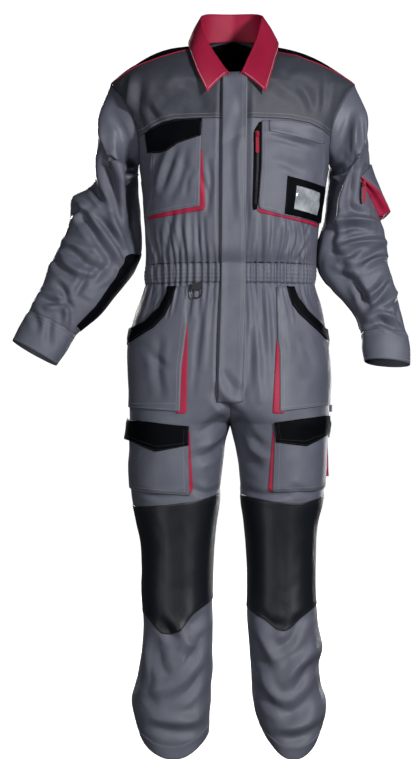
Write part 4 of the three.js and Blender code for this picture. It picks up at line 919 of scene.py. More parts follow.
def sew():
    """Builds the gathered dashes, one mesh for each kind."""
    for (kind, colour), boxes in THREAD.items():
        add_boxes("thread_" + kind, np.concatenate(boxes), MATERIAL[colour])


def seam_thread(kind, dress, us, rows, lift=0.3):
    """Thread along a line on a dressed surface, a little above it."""
    thread(kind, *dress(*both(us, rows), lift))


def tube(piece, line, radius, sides=8):
    """Adds a round cord along a line of points."""
    along = unit(np.gradient(line, axis=0))
    flat = unit(np.cross(along, (0.13, 0.2, 0.97)))
    up = np.cross(along, flat)
    a = across(sides + 1, 0, 2 * math.pi)[None, :, None]
    n = flat[:, None] * np.cos(a) + up[:, None] * np.sin(a)
    return piece.grid(line[:, None] + radius * n, n)


# Materials
def material(name, colour, roughness, shine=0.5, weave=0.0, grain=0.0):
    """Weave is the strength of the twill's bump, grain how far the colour wanders."""
    made = bpy.data.materials.new(name)
    made.use_nodes = True
    tree = made.node_tree
    shader = tree.nodes["Principled BSDF"]
    shader.inputs["Base Color"].default_value = (*colour, 1)
    shader.inputs["Roughness"].default_value = roughness
    shader.inputs["Specular IOR Level"].default_value = shine

    def node(kind, **settings):
        new = tree.nodes.new(kind)
        for key, value in settings.items():
            new.inputs[key].default_value = value
        return new

    if weave:
        place = tree.nodes.new("ShaderNodeUVMap")
        place.uv_map = "cloth"
        turn = node("ShaderNodeMapping", Rotation=(0, 0, math.radians(58)))
        tree.links.new(place.outputs["UV"], turn.inputs["Vector"])
        twill = node("ShaderNodeTexWave", Scale=310.0, Distortion=0.6, Detail=1.0)
        tree.links.new(turn.outputs["Vector"], twill.inputs["Vector"])
        rough = node("ShaderNodeTexNoise", Scale=260.0, Detail=3.0)
        tree.links.new(place.outputs["UV"], rough.inputs["Vector"])
        both = node("ShaderNodeMath")
        both.operation = "ADD"
        tree.links.new(twill.outputs["Fac"], both.inputs[0])
        tree.links.new(rough.outputs["Fac"], both.inputs[1])
        bump = node("ShaderNodeBump", Strength=weave, Distance=0.0004)
        tree.links.new(both.outputs[0], bump.inputs["Height"])
        tree.links.new(bump.outputs["Normal"], shader.inputs["Normal"])
    if grain:
        soft = node("ShaderNodeTexNoise", Scale=14.0, Detail=4.0, Roughness=0.6)
        where = tree.nodes.new("ShaderNodeTexCoord")
        tree.links.new(where.outputs["Object"], soft.inputs["Vector"])
        ramp = tree.nodes.new("ShaderNodeValToRGB")
        ramp.color_ramp.elements[0].position, ramp.color_ramp.elements[1].position = 0.3, 0.7
        ramp.color_ramp.elements[0].color = (*(c * (1 - grain) for c in colour), 1)
        ramp.color_ramp.elements[1].color = (*(c * (1 + grain) for c in colour), 1)
        tree.links.new(soft.outputs["Fac"], ramp.inputs["Fac"])
        tree.links.new(ramp.outputs["Color"], shader.inputs["Base Color"])
    return made


GREY, BLACK, RED = (0.112, 0.120, 0.160), (0.0016, 0.0020, 0.0034), (0.41, 0.012, 0.055)
MATERIAL = {
    "grey": material("grey_twill", GREY, 0.5, shine=0.6, weave=0.35, grain=0.07),
    # The yoke's grey is the same twill at half brightness: painted shade, which draws the yoke darker than
    # the rest of the cloth.
    "yoke": material("grey_twill_painted_shade", [0.5 * c for c in GREY], 0.52, shine=0.5, weave=0.35, grain=0.07),
    "black": material("black_twill", BLACK, 0.6, shine=0.06, weave=0.35),
    "knee": material("knee_twill", (0.0062, 0.0082, 0.0125), 0.42, shine=0.42, weave=0.25),
    "red": material("red_twill", RED, 0.55, shine=0.35, weave=0.35, grain=0.05),
    "thread_grey": material("grey_thread", (0.30, 0.31, 0.34), 0.6),
    "thread_dark": material("dark_thread", (0.035, 0.036, 0.042), 0.6),
    "thread_mid": material("mid_thread", (0.10, 0.103, 0.12), 0.6),
    "thread_pale": material("pale_thread", (0.62, 0.60, 0.62), 0.6),
    "zip": material("black_zip", (0.008, 0.008, 0.009), 0.35),
    "zip_red": material("red_zip", (0.34, 0.008, 0.03), 0.5, shine=0.3),
    "ring": material("ring_black", (0.022, 0.023, 0.026), 0.28),
    "webbing": material("black_webbing", (0.012, 0.012, 0.014), 0.7),
    # Painted reflection: the clear window film is coloured pale grey, with strong blotches from grain 0.9, to
    # stand for its glare.
    "film": material("window_film", (0.30, 0.32, 0.35), 0.08, grain=0.9),
}
SLOT = {
    "grey": "grey_cloth",
    "yoke": "grey_cloth",
    "black": "black_cloth",
    "knee": "black_cloth",
    "red": "red_cloth",
}

# The cut of each piece, in metres: width, length, flat area, how it is held and what it is sewn to
CUT = {
    "front_chest": (0.28, 0.31, 0.084, "hung", "front_yoke"),
    "front_yoke": (0.27, 0.20, 0.044, "hung", "shoulder_inset"),
    "back_panel": (0.56, 0.34, 0.178, "hung", "back_yoke"),
    "back_yoke": (0.56, 0.19, 0.086, "hung", "collar"),
    "shoulder_inset": (0.25, 0.11, 0.0240, "laid", "back_yoke"),
    "waistband_front": (0.34, 0.042, 0.0142, "gathered", "front_chest"),
    "waistband_back": (0.70, 0.042, 0.0294, "gathered", "back_panel"),
    "leg_front": (0.34, 1.03, 0.300, "hung", "waistband_front"),
    "leg_back": (0.33, 1.02, 0.290, "hung", "waistband_back"),
    "sleeve": (0.50, 0.60, 0.240, "hung", "shoulder_inset"),
    "cuff": (0.27, 0.08, 0.0216, "folded", "sleeve"),
    "elbow_patch": (0.22, 0.28, 0.0610, "laid", "sleeve"),
    "chest_gusset": (0.021, 0.20, 0.0042, "folded", "front_chest"),
    "chest_pocket_r": (0.125, 0.20, 0.0250, "laid", "front_chest"),
    "chest_pocket_l": (0.165, 0.21, 0.0345, "laid", "front_chest"),
    "chest_flap": (0.125, 0.068, 0.0071, "hung", "front_chest"),
    "chest_welt": (0.135, 0.034, 0.0045, "laid", "chest_pocket"),
    "chest_zip_tape": (0.019, 0.19, 0.0030, "laid", "front_chest_l"),
    "id_frame": (0.098, 0.10, 0.0098, "laid", "chest_pocket_l"),
    "id_window": (0.06, 0.06, 0.0036, "laid", "id_frame"),
    "hip_gusset": (0.020, 0.19, 0.0038, "folded", "leg_front"),
    "hip_pocket": (0.18, 0.27, 0.0360, "laid", "leg_front"),
    "hip_binding": (0.036, 0.17, 0.0060, "folded", "hip_pocket"),
    "thigh_gusset": (0.016, 0.14, 0.0022, "folded", "leg_front"),
    "thigh_pocket": (0.20, 0.155, 0.0305, "laid", "leg_front"),
    "thigh_flap": (0.20, 0.065, 0.0115, "hung", "leg_front"),
    "knee": (0.26, 0.30, 0.0720, "laid", "leg_front"),
    "placket": (0.06, 0.71, 0.0425, "laid", "front_chest_l"),
    "collar": (0.17, 0.50, 0.0720, "folded", "back_yoke"),
    "rule_pocket": (0.12, 0.115, 0.0138, "hung", "leg_back_l"),
    "rule_gusset": (0.016, 0.22, 0.0035, "folded", "leg_back_l"),
    "rule_flap": (0.12, 0.05, 0.0060, "hung", "leg_back_l"),
    "hammer_loop": (0.02, 0.055, 0.0011, "hung", "leg_back_l"),
    "arm_pocket": (0.10, 0.135, 0.0135, "hung", "sleeve_l"),
    "arm_gusset": (0.022, 0.20, 0.0043, "folded", "sleeve_l"),
    "neck_lining": (0.56, 0.19, 0.084, "laid", "back_yoke"),
}


def declare(name):
    """Looks up a piece's cut, its own or the one that both sides share; nothing is done with it."""
    base, _, side = name.rpartition("_")
    width, length, flat_area, held, under = CUT.get(name) or CUT[base]


def cloth(name, piece, colour, slot_name=None):
    obj = piece.build("cloth_" + name, MATERIAL[colour])
    slot_name or SLOT[colour]
    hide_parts(name)
    declare(name)


DRESS_FRONT = {side: on_upper(side, -1) for side in SIDES}
DRESS_BACK = {side: on_upper(side, 1) for side in SIDES}
DRESS_LEG = {side: on_leg(side) for side in SIDES}
DRESS_SLEEVE = {side: on_sleeve(side) for side in SIDES}
FINE = across(105)
INSET_SEAM = lerp(FRONT_END, FRONT_INSET, smooth(FINE / 0.35))


# Upper fronts: yoke over chest, cut at the yoke seam.
for side in SIDES:
    at, dress = upper(side, FRONT), DRESS_FRONT[side]
    seam = seam_row(at, YOKE_SEAM, 3, FRONT_END, FINE)
    u, row = sheet_between(np.zeros_like(FINE), seam, FINE, 76)
    cloth("front_chest_" + side, Piece().grid(*tucked(*dress(u, row))), "grey")
    u, row = sheet_between(seam, INSET_SEAM, FINE, 56)
    # The front yoke takes the half-bright grey: painted shade.
    cloth("front_yoke_" + side, Piece().grid(*tucked(*dress(u, row))), "yoke")
    for by in (0.06, 0.22):
        seam_thread(("upper", "thread_grey"), dress, FINE[2:-2], seam[2:-2] + by)
    rows = across(120, 0.1, 4.95)
    for by in (0.012, 0.035):
        seam_thread(("upper", "thread_dark"), dress, 1 - by, rows)


# Back: one piece from side to side up to the neck, with an arm to each shoulder.
seams = {side: seam_row(upper(side, BACK), BACK_SEAM, 3, 9.5, FINE) for side in SIDES}


def level(row):
    return dict.fromkeys(SIDES, np.full_like(FINE, row))


def both_sides(first, last, count):
    """One grid over both halves of the back, between two rows given for each side."""
    grids = []
    for side in SIDES:
        u, row = sheet_between(first[side], last[side], FINE, count)
        p, n = DRESS_BACK[side](u, row)
        grids.append((p[:, ::-1], n[:, ::-1]) if side == "r" else (p[:, 1:], n[:, 1:]))
    return tuple(np.concatenate([a, b], 1) for a, b in zip(*grids))


cloth("back_panel", Piece().grid(*tucked(*both_sides(level(0), seams, 84))), "grey")
yoke = Piece().grid(*tucked(*both_sides(seams, level(BACK_NECK), 50), "tlr"))
for side in SIDES:
    u, row = sheet_between(np.full_like(FINE, BACK_NECK), np.full_like(FINE, BACK_END), FINE, 12)
    yoke.grid(*DRESS_BACK[side](u, row))
    u, row = sheet_between(INSET_SEAM, np.full_like(FINE, RIDGE), FINE, 9)
    front = DRESS_FRONT[side](u, row)
    u, row = sheet_between(np.full_like(FINE, RIDGE), np.full_like(FINE, BACK_END), FINE, 8)
    back = DRESS_BACK[side](u, row)
    joined = [np.concatenate([a, b[1:]]) for a, b in zip(front, back)]
    cloth("shoulder_inset_" + side, Piece().grid(*tucked(*joined)), "black", "inset_cloth")
    for by in (0.05, 0.19):
        seam_thread(("upper", "thread_grey"), DRESS_BACK[side], FINE[2:-2], seams[side][2:-2] + by)
# The back yoke takes the half-bright grey: painted shade.
cloth("back_yoke", yoke, "yoke")

# A black sheet just inside the back yoke, which shows through the neck
NECK_SHEET_SHIFT = (0, -2.4, -0.6)
p, n = both_sides(seams, level(BACK_NECK), 40)
obj = Piece().grid(p + NECK_SHEET_SHIFT, n).build("neck_lining", MATERIAL["black"])
declare("neck_lining")

# Red piping along both edges of the shoulder insets
for side in SIDES:
    piping = Piece()
    for dress, row in ((DRESS_FRONT[side], INSET_SEAM), (DRESS_BACK[side], np.full_like(FINE, BACK_END))):
        p, n = dress(FINE[1:-1], row[1:-1])
        tube(piping, p + n * 0.5, 1.2)
    obj = piping.build("piping_" + side, MATERIAL["red"])


# Waistband: shirred between rows of thread
def on_band(side, face):
    rows = FRONT if face < 0 else BACK
    top, bottom = upper(side, rows), leg(side)

    def dress(u, t, lift=0.0):
        u, t = both(u, t)
        half = u / 2 if face < 0 else 1 - u / 2
        p = lerp(top(u, np.zeros_like(u)), bottom(half, np.zeros_like(u)), t[..., None])
        _, n = normals(top, body_axis, (0, 1, 0, RIDGE), u, np.zeros_like(u))
        n = unit(np.where((u <= 0)[..., None], n * (0, 1, 0), n * (1, 1, 0)))
        rib = 0.4 * np.cos(2 * math.pi * 5 * t)
        swell = 2.2 * np.sin(math.pi * t)
        out = relief(WAIST, p, n, FOLD_STEEP["waist"]) + crumple(p) + gathers(u, 0) - rib + swell
        return p + n * (out + lift)[..., None], n

    return dress


u, t = np.meshgrid(across(121), across(25))
BAND_TUCK = {"pull": 0.3, "deep": 1.4}
for side in SIDES:
    cloth("waistband_front_" + side, Piece().grid(*tucked(*on_band(side, -1)(u, t), **BAND_TUCK)), "grey")
halves = [on_band(side, 1)(u, t) for side in SIDES]
joined = [np.concatenate([a[:, ::-1], b[:, 1:]], 1) for a, b in zip(*halves)]
cloth("waistband_back", Piece().grid(*tucked(*joined, **BAND_TUCK)), "grey")
for side in SIDES:
    for face in (-1, 1):
        for t in (0.06, 0.94):
            seam_thread(("waist", "thread_mid"), on_band(side, face), across(200, 0.01, 0.99), t)

# Trousers
for side in SIDES:
    dress = DRESS_LEG[side]
    for name, start, end in (("front", 0, 0.5), ("back", 0.5, 1)):
        u, row = np.meshgrid(across(96, start, end), across(270, 0, HEM))
        cloth(f"leg_{name}_{side}", Piece().grid(*tucked(*dress(u, row))), "grey")
    for by in (0.0064, -0.0064):
        seam_thread(("legs", "thread_dark"), dress, 0.5 + by, across(400, 0.2, HEM - 0.2))
    for row in (HEM - 0.55, HEM - 0.62):
        seam_thread(("legs", "thread_grey"), dress, across(200, 0.01, 0.99), row)

# Sleeves, elbow patches and cuffs
FLANGE = {"u": 0.955, "lift": -4.5}  # where the sleeve's seam allowance lies, inside the body
for side in SIDES:
    dress = DRESS_SLEEVE[side]
    around = across(118)
    u, row = np.meshgrid(around, across(190, 0.02, WRIST))
    p, n = tucked(*dress(u, row, -0.4), "b")
    over = UNDERARM + (RIDGE - UNDERARM) * 2 * np.minimum(around, 0.5)
    under = RIDGE - (RIDGE - UNDERARM) * (2 * np.maximum(around, 0.5) - 1)
    front, _ = DRESS_FRONT[side](FLANGE["u"], over, FLANGE["lift"])
    back, _ = DRESS_BACK[side](FLANGE["u"], under, FLANGE["lift"])
    flange = np.where((around <= 0.5)[:, None], front, back)
    p, n = np.concatenate([flange[None], p[:1] - n[:1] * 3, p]), np.concatenate([n[:1], n[:1], n])
    cloth("sleeve_" + side, Piece().grid(p, n), "grey")
    u, row = np.meshgrid(across(100), across(24, WRIST, CUFF_END))
    swell = 1.4 * np.sin(math.pi * np.clip(row - WRIST, 0, 2) / 2)
    p, n = dress(u, row, swell)
    inner, _ = dress(u, row, swell - 2.2)
    cuff = Piece().grid(p, n).grid(inner, -n)
    hem = np.stack([p[-1], (p[-1] + inner[-1]) / 2, inner[-1]])
    cuff.grid(hem, np.broadcast_to(unit(p[-1] - p[-2]), hem.shape))
    seam = np.stack([p[0], inner[0]])
    cuff.grid(seam, np.broadcast_to(unit(p[0] - p[1]), seam.shape))
    cloth("cuff_" + side, cuff, "grey")
    for row in (WRIST + 0.15, WRIST + 0.3, CUFF_END - 0.12):
        seam_thread(("sleeves", "thread_grey"), dress, across(200), row, 1.2)
    s, row = np.meshgrid(across(70), across(120, 6.0, 12.6))
    wider = 0.145 * smooth((row - 6.7) / 1.6) * (1 - 0.05 * (row - 8)) if side == "r" else 0
    u = lerp(0.57, 0.985 + wider, s)
    cloth("elbow_patch_" + side, Piece().grid(*tucked(*dress(u, row, 0.9), "tlbr", 0.4, 1.6)), "black")


# Pieces sewn on a panel, each drawn in front view by its top and bottom edges, and by its left and right
# ones where they bend
def limit_leg(side, x, z):
    """x held within the leg's width at that height."""
    _, half, centre, _, _ = leg_section(side, leg_row(z))
    return SIGN[side] * np.clip(SIGN[side] * x, centre - half, centre + half)


def trace(kind, side, line, count):
    """Even steps along a line drawn in front view, as u and row on its surface."""
    line = np.array(line, float)
    t = across(40 * (len(line) - 1) + 1, 0, len(line) - 1)
    x, z = np.interp(t, range(len(line)), line[:, 0]), np.interp(t, range(len(line)), line[:, 1])
    if kind == "leg":
        x = limit_leg(side, x, z)
        u, row = spot_leg(side, x, z)
        p = leg(side)(u, row)
    else:
        u, row = spot_upper(side, x, z)
        p = upper(side, FRONT)(u, row)
    run = run_along(p)
    at = across(count) * run[-1]
    return np.stack([np.interp(at, run, u), np.interp(at, run, row)], -1)


def four_edges(top, bottom, left=None, right=None):
    """The edges of a patch. A side edge that isn't given runs straight between the ends."""
    return top, bottom, left or [top[0], bottom[0]], right or [top[-1], bottom[-1]]


def patch_spots(kind, side, edges, shape):
    rows, columns = shape
    top, bottom = (trace(kind, side, e, columns) for e in edges[:2])
    left, right = (trace(kind, side, e, rows) for e in edges[2:])
    s = across(columns)[None, :, None]
    t = across(rows)[:, None, None]
    corners = lerp(lerp(top[0], top[-1], s), lerp(bottom[0], bottom[-1], s), t)
    spots = lerp(left[:, None], right[:, None], s) + lerp(top[None], bottom[None], t) - corners
    return spots[..., 0], spots[..., 1]


def tucked_to(p, n, base):
    """Draws the top in at its rim and runs it down to the base."""
    for edge in "tlbr":
        p, n, base = (turned(g, edge) for g in (p, n, base))
        step = unit(p[1:2] - p[:1]) * 0.5
        lip = lerp(p[:1], base[:1], 0.3)
        p = np.concatenate([base[:1], lip, p[:1] + step, p[1:]])
        n, base = np.concatenate([n[:1], n[:1], n]), np.concatenate([base[:1], base[:1], base])
        p, n, base = (turned(g, edge) for g in (p, n, base))
    return p, n


def sewn(name, kind, side, edges, colour, low, high, puff=0.0, step=4.2, lift=None, slot_name=None):
    """A patch whose top lies from high, at its edges, to high + puff, and whose rim turns down to low."""
    dress = DRESS_FRONT[side] if kind == "upper" else DRESS_LEG[side]
    edges = four_edges(*edges)
    lengths = [np.hypot(*np.diff(np.array(e, float), axis=0).T).sum() for e in edges]
    shape = (max(6, int(max(lengths[2:]) / step)), max(6, int(max(lengths[:2]) * 1.15 / step)))
    u, row = patch_spots(kind, side, edges, shape)
    t, s = across(shape[0])[:, None], across(shape[1])[None]
    rise = high + puff * (np.sin(math.pi * s) * np.sin(math.pi * t)) ** 0.5
    if lift:
        rise = rise + lift(t, s)
    base, _ = dress(u, row, low)
    cloth(name, Piece().grid(*tucked_to(*dress(u, row, rise), base)), colour, slot_name)
    return {"dress": dress, "u": u, "row": row, "rise": np.broadcast_to(rise, shape), "size": lengths}


def hem_thread(patch, kind, insets, edges="tlbr"):
    """Thread along the edges of a sewn patch, at distances in from them."""
    for edge in edges:
        size = patch["size"][2 if edge in "tb" else 0]
        grids = [turned(patch[name], edge) for name in ("u", "row", "rise")]
        for inset in insets:
            at = inset / size * (len(grids[0]) - 1)
            k = int(at)
            u, row, rise = (lerp(g[k, 1:-1], g[k + 1, 1:-1], at - k) for g in grids)
            thread(kind, *patch["dress"](u, row, rise + 0.15))


GREY_SEAM, DARK_SEAM = ("pockets", "thread_grey"), ("pocket_creases", "thread_dark")

# Right chest pocket
sewn("chest_gusset_r", "upper", "r", (
    [(-60, 1318), (-54, 1199), (-57, 1190), (-176, 1175)],
    [(-70, 1318), (-74, 1206), (-82, 1201), (-178, 1190)],
), "red", 0.2, 2.0)
pocket = sewn("chest_pocket_r", "upper", "r", (
    [(-172, 1372), (-117, 1383), (-61, 1383)],
    [(-181, 1182), (-66, 1199)],
    [(-172, 1372), (-168, 1313), (-172, 1283), (-168, 1247), (-181, 1182)],
    [(-61, 1383), (-62, 1347), (-66, 1199)],
), "grey", 2.2, 3.8, puff=2.2)
hem_thread(pocket, GREY_SEAM, (2, 8), "lbr")
flap = sewn("chest_flap_r", "upper", "r", (
    [(-181, 1360), (-168, 1369), (-149, 1378), (-117, 1384), (-60, 1385)],
    [(-176, 1320), (-150, 1316), (-131, 1319), (-111, 1333), (-62, 1348)],
), "black", 6.2, 7.6, puff=0.8)
hem_thread(flap, DARK_SEAM, (2,), "tlbr")

# Left chest pocket
sewn("chest_zip_tape", "upper", "l", (
    [(61, 1378), (65, 1378)], [(48, 1190), (56, 1192)], [(61, 1378), (50, 1360), (46, 1200), (48, 1190)],
    [(65, 1378), (64, 1287), (58, 1205), (56, 1192)],
), "black", 0.2, 1.8)
sewn("chest_gusset_l", "upper", "l", (
    [(57, 1190), (61, 1185), (108, 1176), (189, 1161)], [(62, 1203), (66, 1200), (110, 1196), (192, 1180)],
), "red", 0.2, 1.9)
pocket = sewn("chest_pocket_l", "upper", "l", (
    [(66, 1381), (128, 1383), (170, 1375), (200, 1362)], [(62, 1193), (108, 1181), (190, 1169), (196, 1174)],
    [(66, 1381), (65, 1287), (59, 1205), (62, 1193)], [(200, 1362), (202, 1313), (200, 1250), (196, 1174)],
), "grey", 1.9, 3.6, puff=1.6)
hem_thread(pocket, GREY_SEAM, (2, 8), "lbr")
welt = sewn("chest_welt_l", "upper", "l", (
    [(81, 1381), (128, 1382), (170, 1375), (198, 1362)], [(81, 1358), (188, 1338), (200, 1340)],
), "grey", 4.2, 6.4)
hem_thread(welt, GREY_SEAM, (2,), "tlb")
sewn("id_frame", "upper", "l", (
    [(119, 1264), (200, 1247)], [(113, 1184), (193, 1170)],
), "black", 4.8, 6.4)


def film_ripple(t, s):
    return 0.4 * np.sin(13 * t + 8 * s + 3 * np.sin(10 * s))


# The window uses the film material, whose pale grey and blotches are painted reflection.
sewn("id_window", "upper", "l", (
    [(138, 1244), (189, 1233)], [(132, 1195), (182, 1185)],
), "film", 6.0, 7.2, step=1.3, lift=film_ripple, slot_name="window_film")

# Hip pockets, with a curved mouth bound in black
MOUTH = {
    "r": [(-114, 1030), (-123, 1003), (-139, 968), (-164, 942), (-195, 924), (-216, 912)],
    "l": [(118, 1030), (124, 1005), (143, 973), (173, 945), (203, 920), (214, 912)],
}
HIP = {
    "r": (
        [(-230, 905), *MOUTH["r"][::-1], (-90, 1029)],
        [(-230, 772), (-208, 768), (-108, 762)],
        None,
        [(-90, 1029), (-92, 950), (-104, 860), (-108, 762)],
    ),
    "l": (
        [(98, 1029), *MOUTH["l"], (230, 905)],
        [(104, 762), (205, 774), (230, 776)],
        [(98, 1029), (100, 915), (104, 890), (104, 762)],
    ),
}
BINDING = {
    "r": (
        [(-136, 1030), (-138, 1016), (-153, 987), (-184, 955), (-226, 938)],
        [*MOUTH["r"][:5], (-226, 906)],
    ),
    "l": (
        [(136, 1030), (144, 1005), (167, 975), (205, 942), (226, 932)],
        [*MOUTH["l"][:5], (226, 905)],
    ),
}
HIP_GUSSET = {
    "r": ([(-91, 949), (-92, 880), (-94, 762), (-98, 758)], [(-100, 949), (-112, 860), (-116, 758)]),
    "l": ([(98, 913), (94, 851), (89, 762), (92, 758)], [(107, 913), (112, 890), (112, 758)]),
}
for side in SIDES:
    sewn("hip_gusset_" + side, "leg", side, HIP_GUSSET[side], "red", 0.2, 2.0)
    pocket = sewn("hip_pocket_" + side, "leg", side, HIP[side], "grey", 1.9, 3.6, puff=1.6)
    hem_thread(pocket, GREY_SEAM, (2, 8), "b" + side)
    binding = sewn("hip_binding_" + side, "leg", side, BINDING[side], "black", 4.0, 5.8, puff=0.8)
    hem_thread(binding, DARK_SEAM, (2,), "tb")

# Thigh pockets and their flaps
THIGH_GUSSET = {
    "r": ([(-88, 720), (-80, 596), (-86, 586)], [(-98, 720), (-95, 606), (-100, 590)]),
    "l": ([(90, 720), (81, 596), (88, 588)], [(102, 720), (98, 606), (102, 592)]),
}
THIGH = {
    "r": (
        [(-230, 736), (-91, 727)], [(-230, 597), (-197, 590), (-88, 582)],
    ),
    "l": (
        [(94, 731), (201, 742), (212, 742)], [(90, 590), (199, 592), (212, 600)],
    ),
}
FLAP = {
    "r": (
        [(-232, 746), (-212, 743), (-90, 732)], [(-232, 704), (-216, 699), (-158, 677), (-91, 691)],
    ),
    "l": (
        [(93, 740), (201, 752), (212, 752)], [(97, 698), (160, 688), (204, 711), (212, 712)],
    ),
}


def flap_stand(t, s):
    """The right flap's outer corner stands off a little."""
    return 1.5 * t + 8 * t * np.maximum(0, 0.3 - s) / 0.3


def flap_lie(t, s):
    return 1.5 * t + 0 * s


for side, stand in (("r", flap_stand), ("l", flap_lie)):
    sewn("thigh_gusset_" + side, "leg", side, THIGH_GUSSET[side], "red", 0.2, 2.0)
    pocket = sewn("thigh_pocket_" + side, "leg", side, THIGH[side], "grey", 1.9, 3.7, puff=3.0)
    hem_thread(pocket, GREY_SEAM, (2, 8), "b" + side)
    flap = sewn("thigh_flap_" + side, "leg", side, FLAP[side], "black", 4.6, 6.6, puff=1.2, lift=stand)
    hem_thread(flap, DARK_SEAM, (2, 7), "lbr")

# Knee panels
KNEE = {
    "r": (
        [(-240, 558), (-206, 556), (-137, 562), (-79, 569), (-10, 586)],
        [(-240, 345), (-180, 316), (-149, 284), (-130, 282), (-108, 290), (-80, 325), (-40, 351), (-10, 362)],
    ),
    "l": (
        [(10, 584), (26, 581), (93, 569), (150, 565), (202, 577), (240, 584)],
        [(10, 340), (37, 333), (73, 313), (99, 293), (116, 290), (130, 296), (156, 319), (186, 339),
         (240, 352)],
    ),
}
for side in SIDES:
    knee = sewn("knee_" + side, "leg", side, KNEE[side], "knee", 0.0, 1.5)
    hem_thread(knee, DARK_SEAM, (2, 7), "tb")


# Placket
def on_placket(share, z, lift=0.0):
    """The front's own surface from the neck to the fork, by share of the placket's half width and height."""
    share, z = both(share, z)
    x = np.interp(z, PLACKET["z"], PLACKET["x"]) + share * PLACKET_HALF
    p = np.zeros((*x.shape, 3))
    n = np.zeros_like(p)
    for side in SIDES:
        line = np.where(z > BAND_TOP, lean(z), 0)
        mine = (x < line) if side == "r" else (x >= line)
        high, low = mine & (z >= BAND_TOP), mine & (z < BAND_BOTTOM)
        band = mine & ~high & ~low
        for where, place, at, inside in (
            (high, spot_upper, upper(side, FRONT), body_axis),
            (low, spot_leg, leg(side), leg_axis(side)),
        ):
            if where.any():
                u, row = place(side, x[where], z[where])
                p[where], n[where] = normals(at, inside, (0, 1, 0, 22), u, row)
        if band.any():
            ends = []
            for place, at, height in (
                (spot_upper, upper(side, FRONT), BAND_TOP + 0.01),
                (spot_leg, leg(side), BAND_BOTTOM),
            ):
                u, row = place(side, x[band], np.full(band.sum(), float(height)))
                ends.append(at(u, row))
            t = ((BAND_TOP - z[band]) / (BAND_TOP - BAND_BOTTOM))[:, None]
            p[band] = lerp(*ends, t)
            n[band] = (0, -1, 0)
    n = unit(n * (0.6, 1, 0.6))
    waist = (BAND_TOP + BAND_BOTTOM) / 2
    swell = 2.2 * np.exp(-(((z - waist) / 26) ** 2))
    above, below = (relief(BODY[name], p, n, FOLD_STEEP[name]) for name in ("upper", "legs"))
    out = np.where(z > waist, above, below) + crumple(p) + swell
    return p + n * (out + lift)[..., None], n


z, s = np.meshgrid(across(170, 1488, 782), across(15, -1, 1), indexing="ij")
p, n = on_placket(s, z, 3.4 + 1.8 * smooth((-s - 0.4) / 0.6))
base, _ = on_placket(np.maximum(s, -0.86), z, np.where(s < -0.5, 2.6, 0.4))
cloth("placket", Piece().grid(*tucked_to(p, n, base)), "grey")
for share in (-0.9, 0.62, 0.74, 0.9):
    thread(GREY_SEAM, *on_placket(share, across(300, 1480, 790), 3.6))

# Collar: stand and leaf in one folded sheet
TURN = 2.6  # half the thickness of the fold at its top


def collar_line(row, sign):
    at = {name: through(COLLAR[name], row) for name in COLLAR}
    middle = lean(np.array(float(SHOULDER_HEIGHT)))
    neck = stack(sign * at["neck_x"] + middle, at["neck_y"], at["neck_z"])
    fold = stack(sign * at["fold_x"] + at["fold_c"], at["fold_y"], at["fold_z"])
    edge = stack(sign * at["edge_x"] + at["edge_c"], at["edge_y"], at["edge_z"])
    out = unit((edge - neck) * (1, 1, 0))
    up = np.array([0, 0, 1.0])
    outside = fold + out * 2 * TURN
    points = [neck, lerp(neck, fold, 0.5), fold, fold + (out + up) * TURN, outside]
    points += [lerp(outside, edge, 0.35) + out * 2.5, lerp(outside, edge, 0.7) + out * 2, edge]
    return np.stack(points, -2)


rows = across(46, 0, len(COLLAR["neck_x"]) - 1)
lines = np.concatenate([collar_line(rows, -1), collar_line(rows[-2::-1], 1)])
t = np.concatenate([across(12, 0, 2)[:-1], across(9, 2, 4)[:-1], across(16, 4, 7)])
i = np.clip(np.floor(t).astype(int), 0, 6)
f = (t - i)[None, :, None]
a, b, c, d = (lines[:, np.clip(i + k, 0, 7)] for k in (-1, 0, 1, 2))
p = cubic(a, b, c, d, f)
p = p + (crumple(p * 1.3) * 0.8)[..., None] * np.array([0.3, -0.6, 0.2])
n = unit(np.cross(np.gradient(p, axis=0), np.gradient(p, axis=1)))
if n[0, -3, 1] > 0:
    n = -n
cloth("collar", Piece().slab(p, n, 0.9, -0.9), "red")
for k in (-2, -4):
    thread(("collar", "thread_pale" if k == -2 else "thread_dark"), p[2:-2, k] + n[2:-2, k] * 1.1, n[2:-2, k])
for k in (1, -2):
    thread(("collar", "thread_pale"), p[k, 20:-1] + n[k, 20:-1] * 1.1, n[k, 20:-1])


# Bellows pockets: a panel held off its base by a red gusset down the front edge and along the bottom
def bellows(name, at, rise, low):
    def off(t, s, by):
        p, n = at(t, s)
        return p + n * np.asarray(by)[..., None], n

    t, s = np.meshgrid(across(46), across(26), indexing="ij")
    lift = rise(t, s) + 0.8 * np.sin(math.pi * t) * np.sin(math.pi * s)
    p, n = off(t, s, lift)
    cloth(name + "_pocket", Piece().grid(*tucked(p, n, "tlbr", 0.5, 1.2)), "grey")
    path_t = np.concatenate([across(46), np.ones(25)])
    path_s = np.concatenate([np.zeros(46), across(26)[1:]])
    v = across(9)[:, None]
    top = rise(path_t, path_s) - 0.4
    wide = lerp(low * 0.2, top[None], v)
    corner = smooth(np.maximum(1 - path_t, path_s) / 0.15)
    fold = 0.018 * np.sin(2 * math.pi * v) * (np.minimum(1, top / 8) * corner)[None]
    p, n = off(path_t + fold * (path_s > 0), path_s + fold * 1.6 * (path_s == 0), wide)
    sides = np.broadcast_to(unit(p[0] - p[0].mean(0)), p.shape)
    cloth(name + "_gusset", Piece().grid(p, sides), "red")
    for t0, s0 in ((across(60, 0.03, 0.97), 0.05), (0.965, across(40, 0.05, 0.97))):
        t0, s0 = np.broadcast_arrays(t0, s0)
        thread(GREY_SEAM, *off(t0, s0, rise(t0, s0) + 0.6))


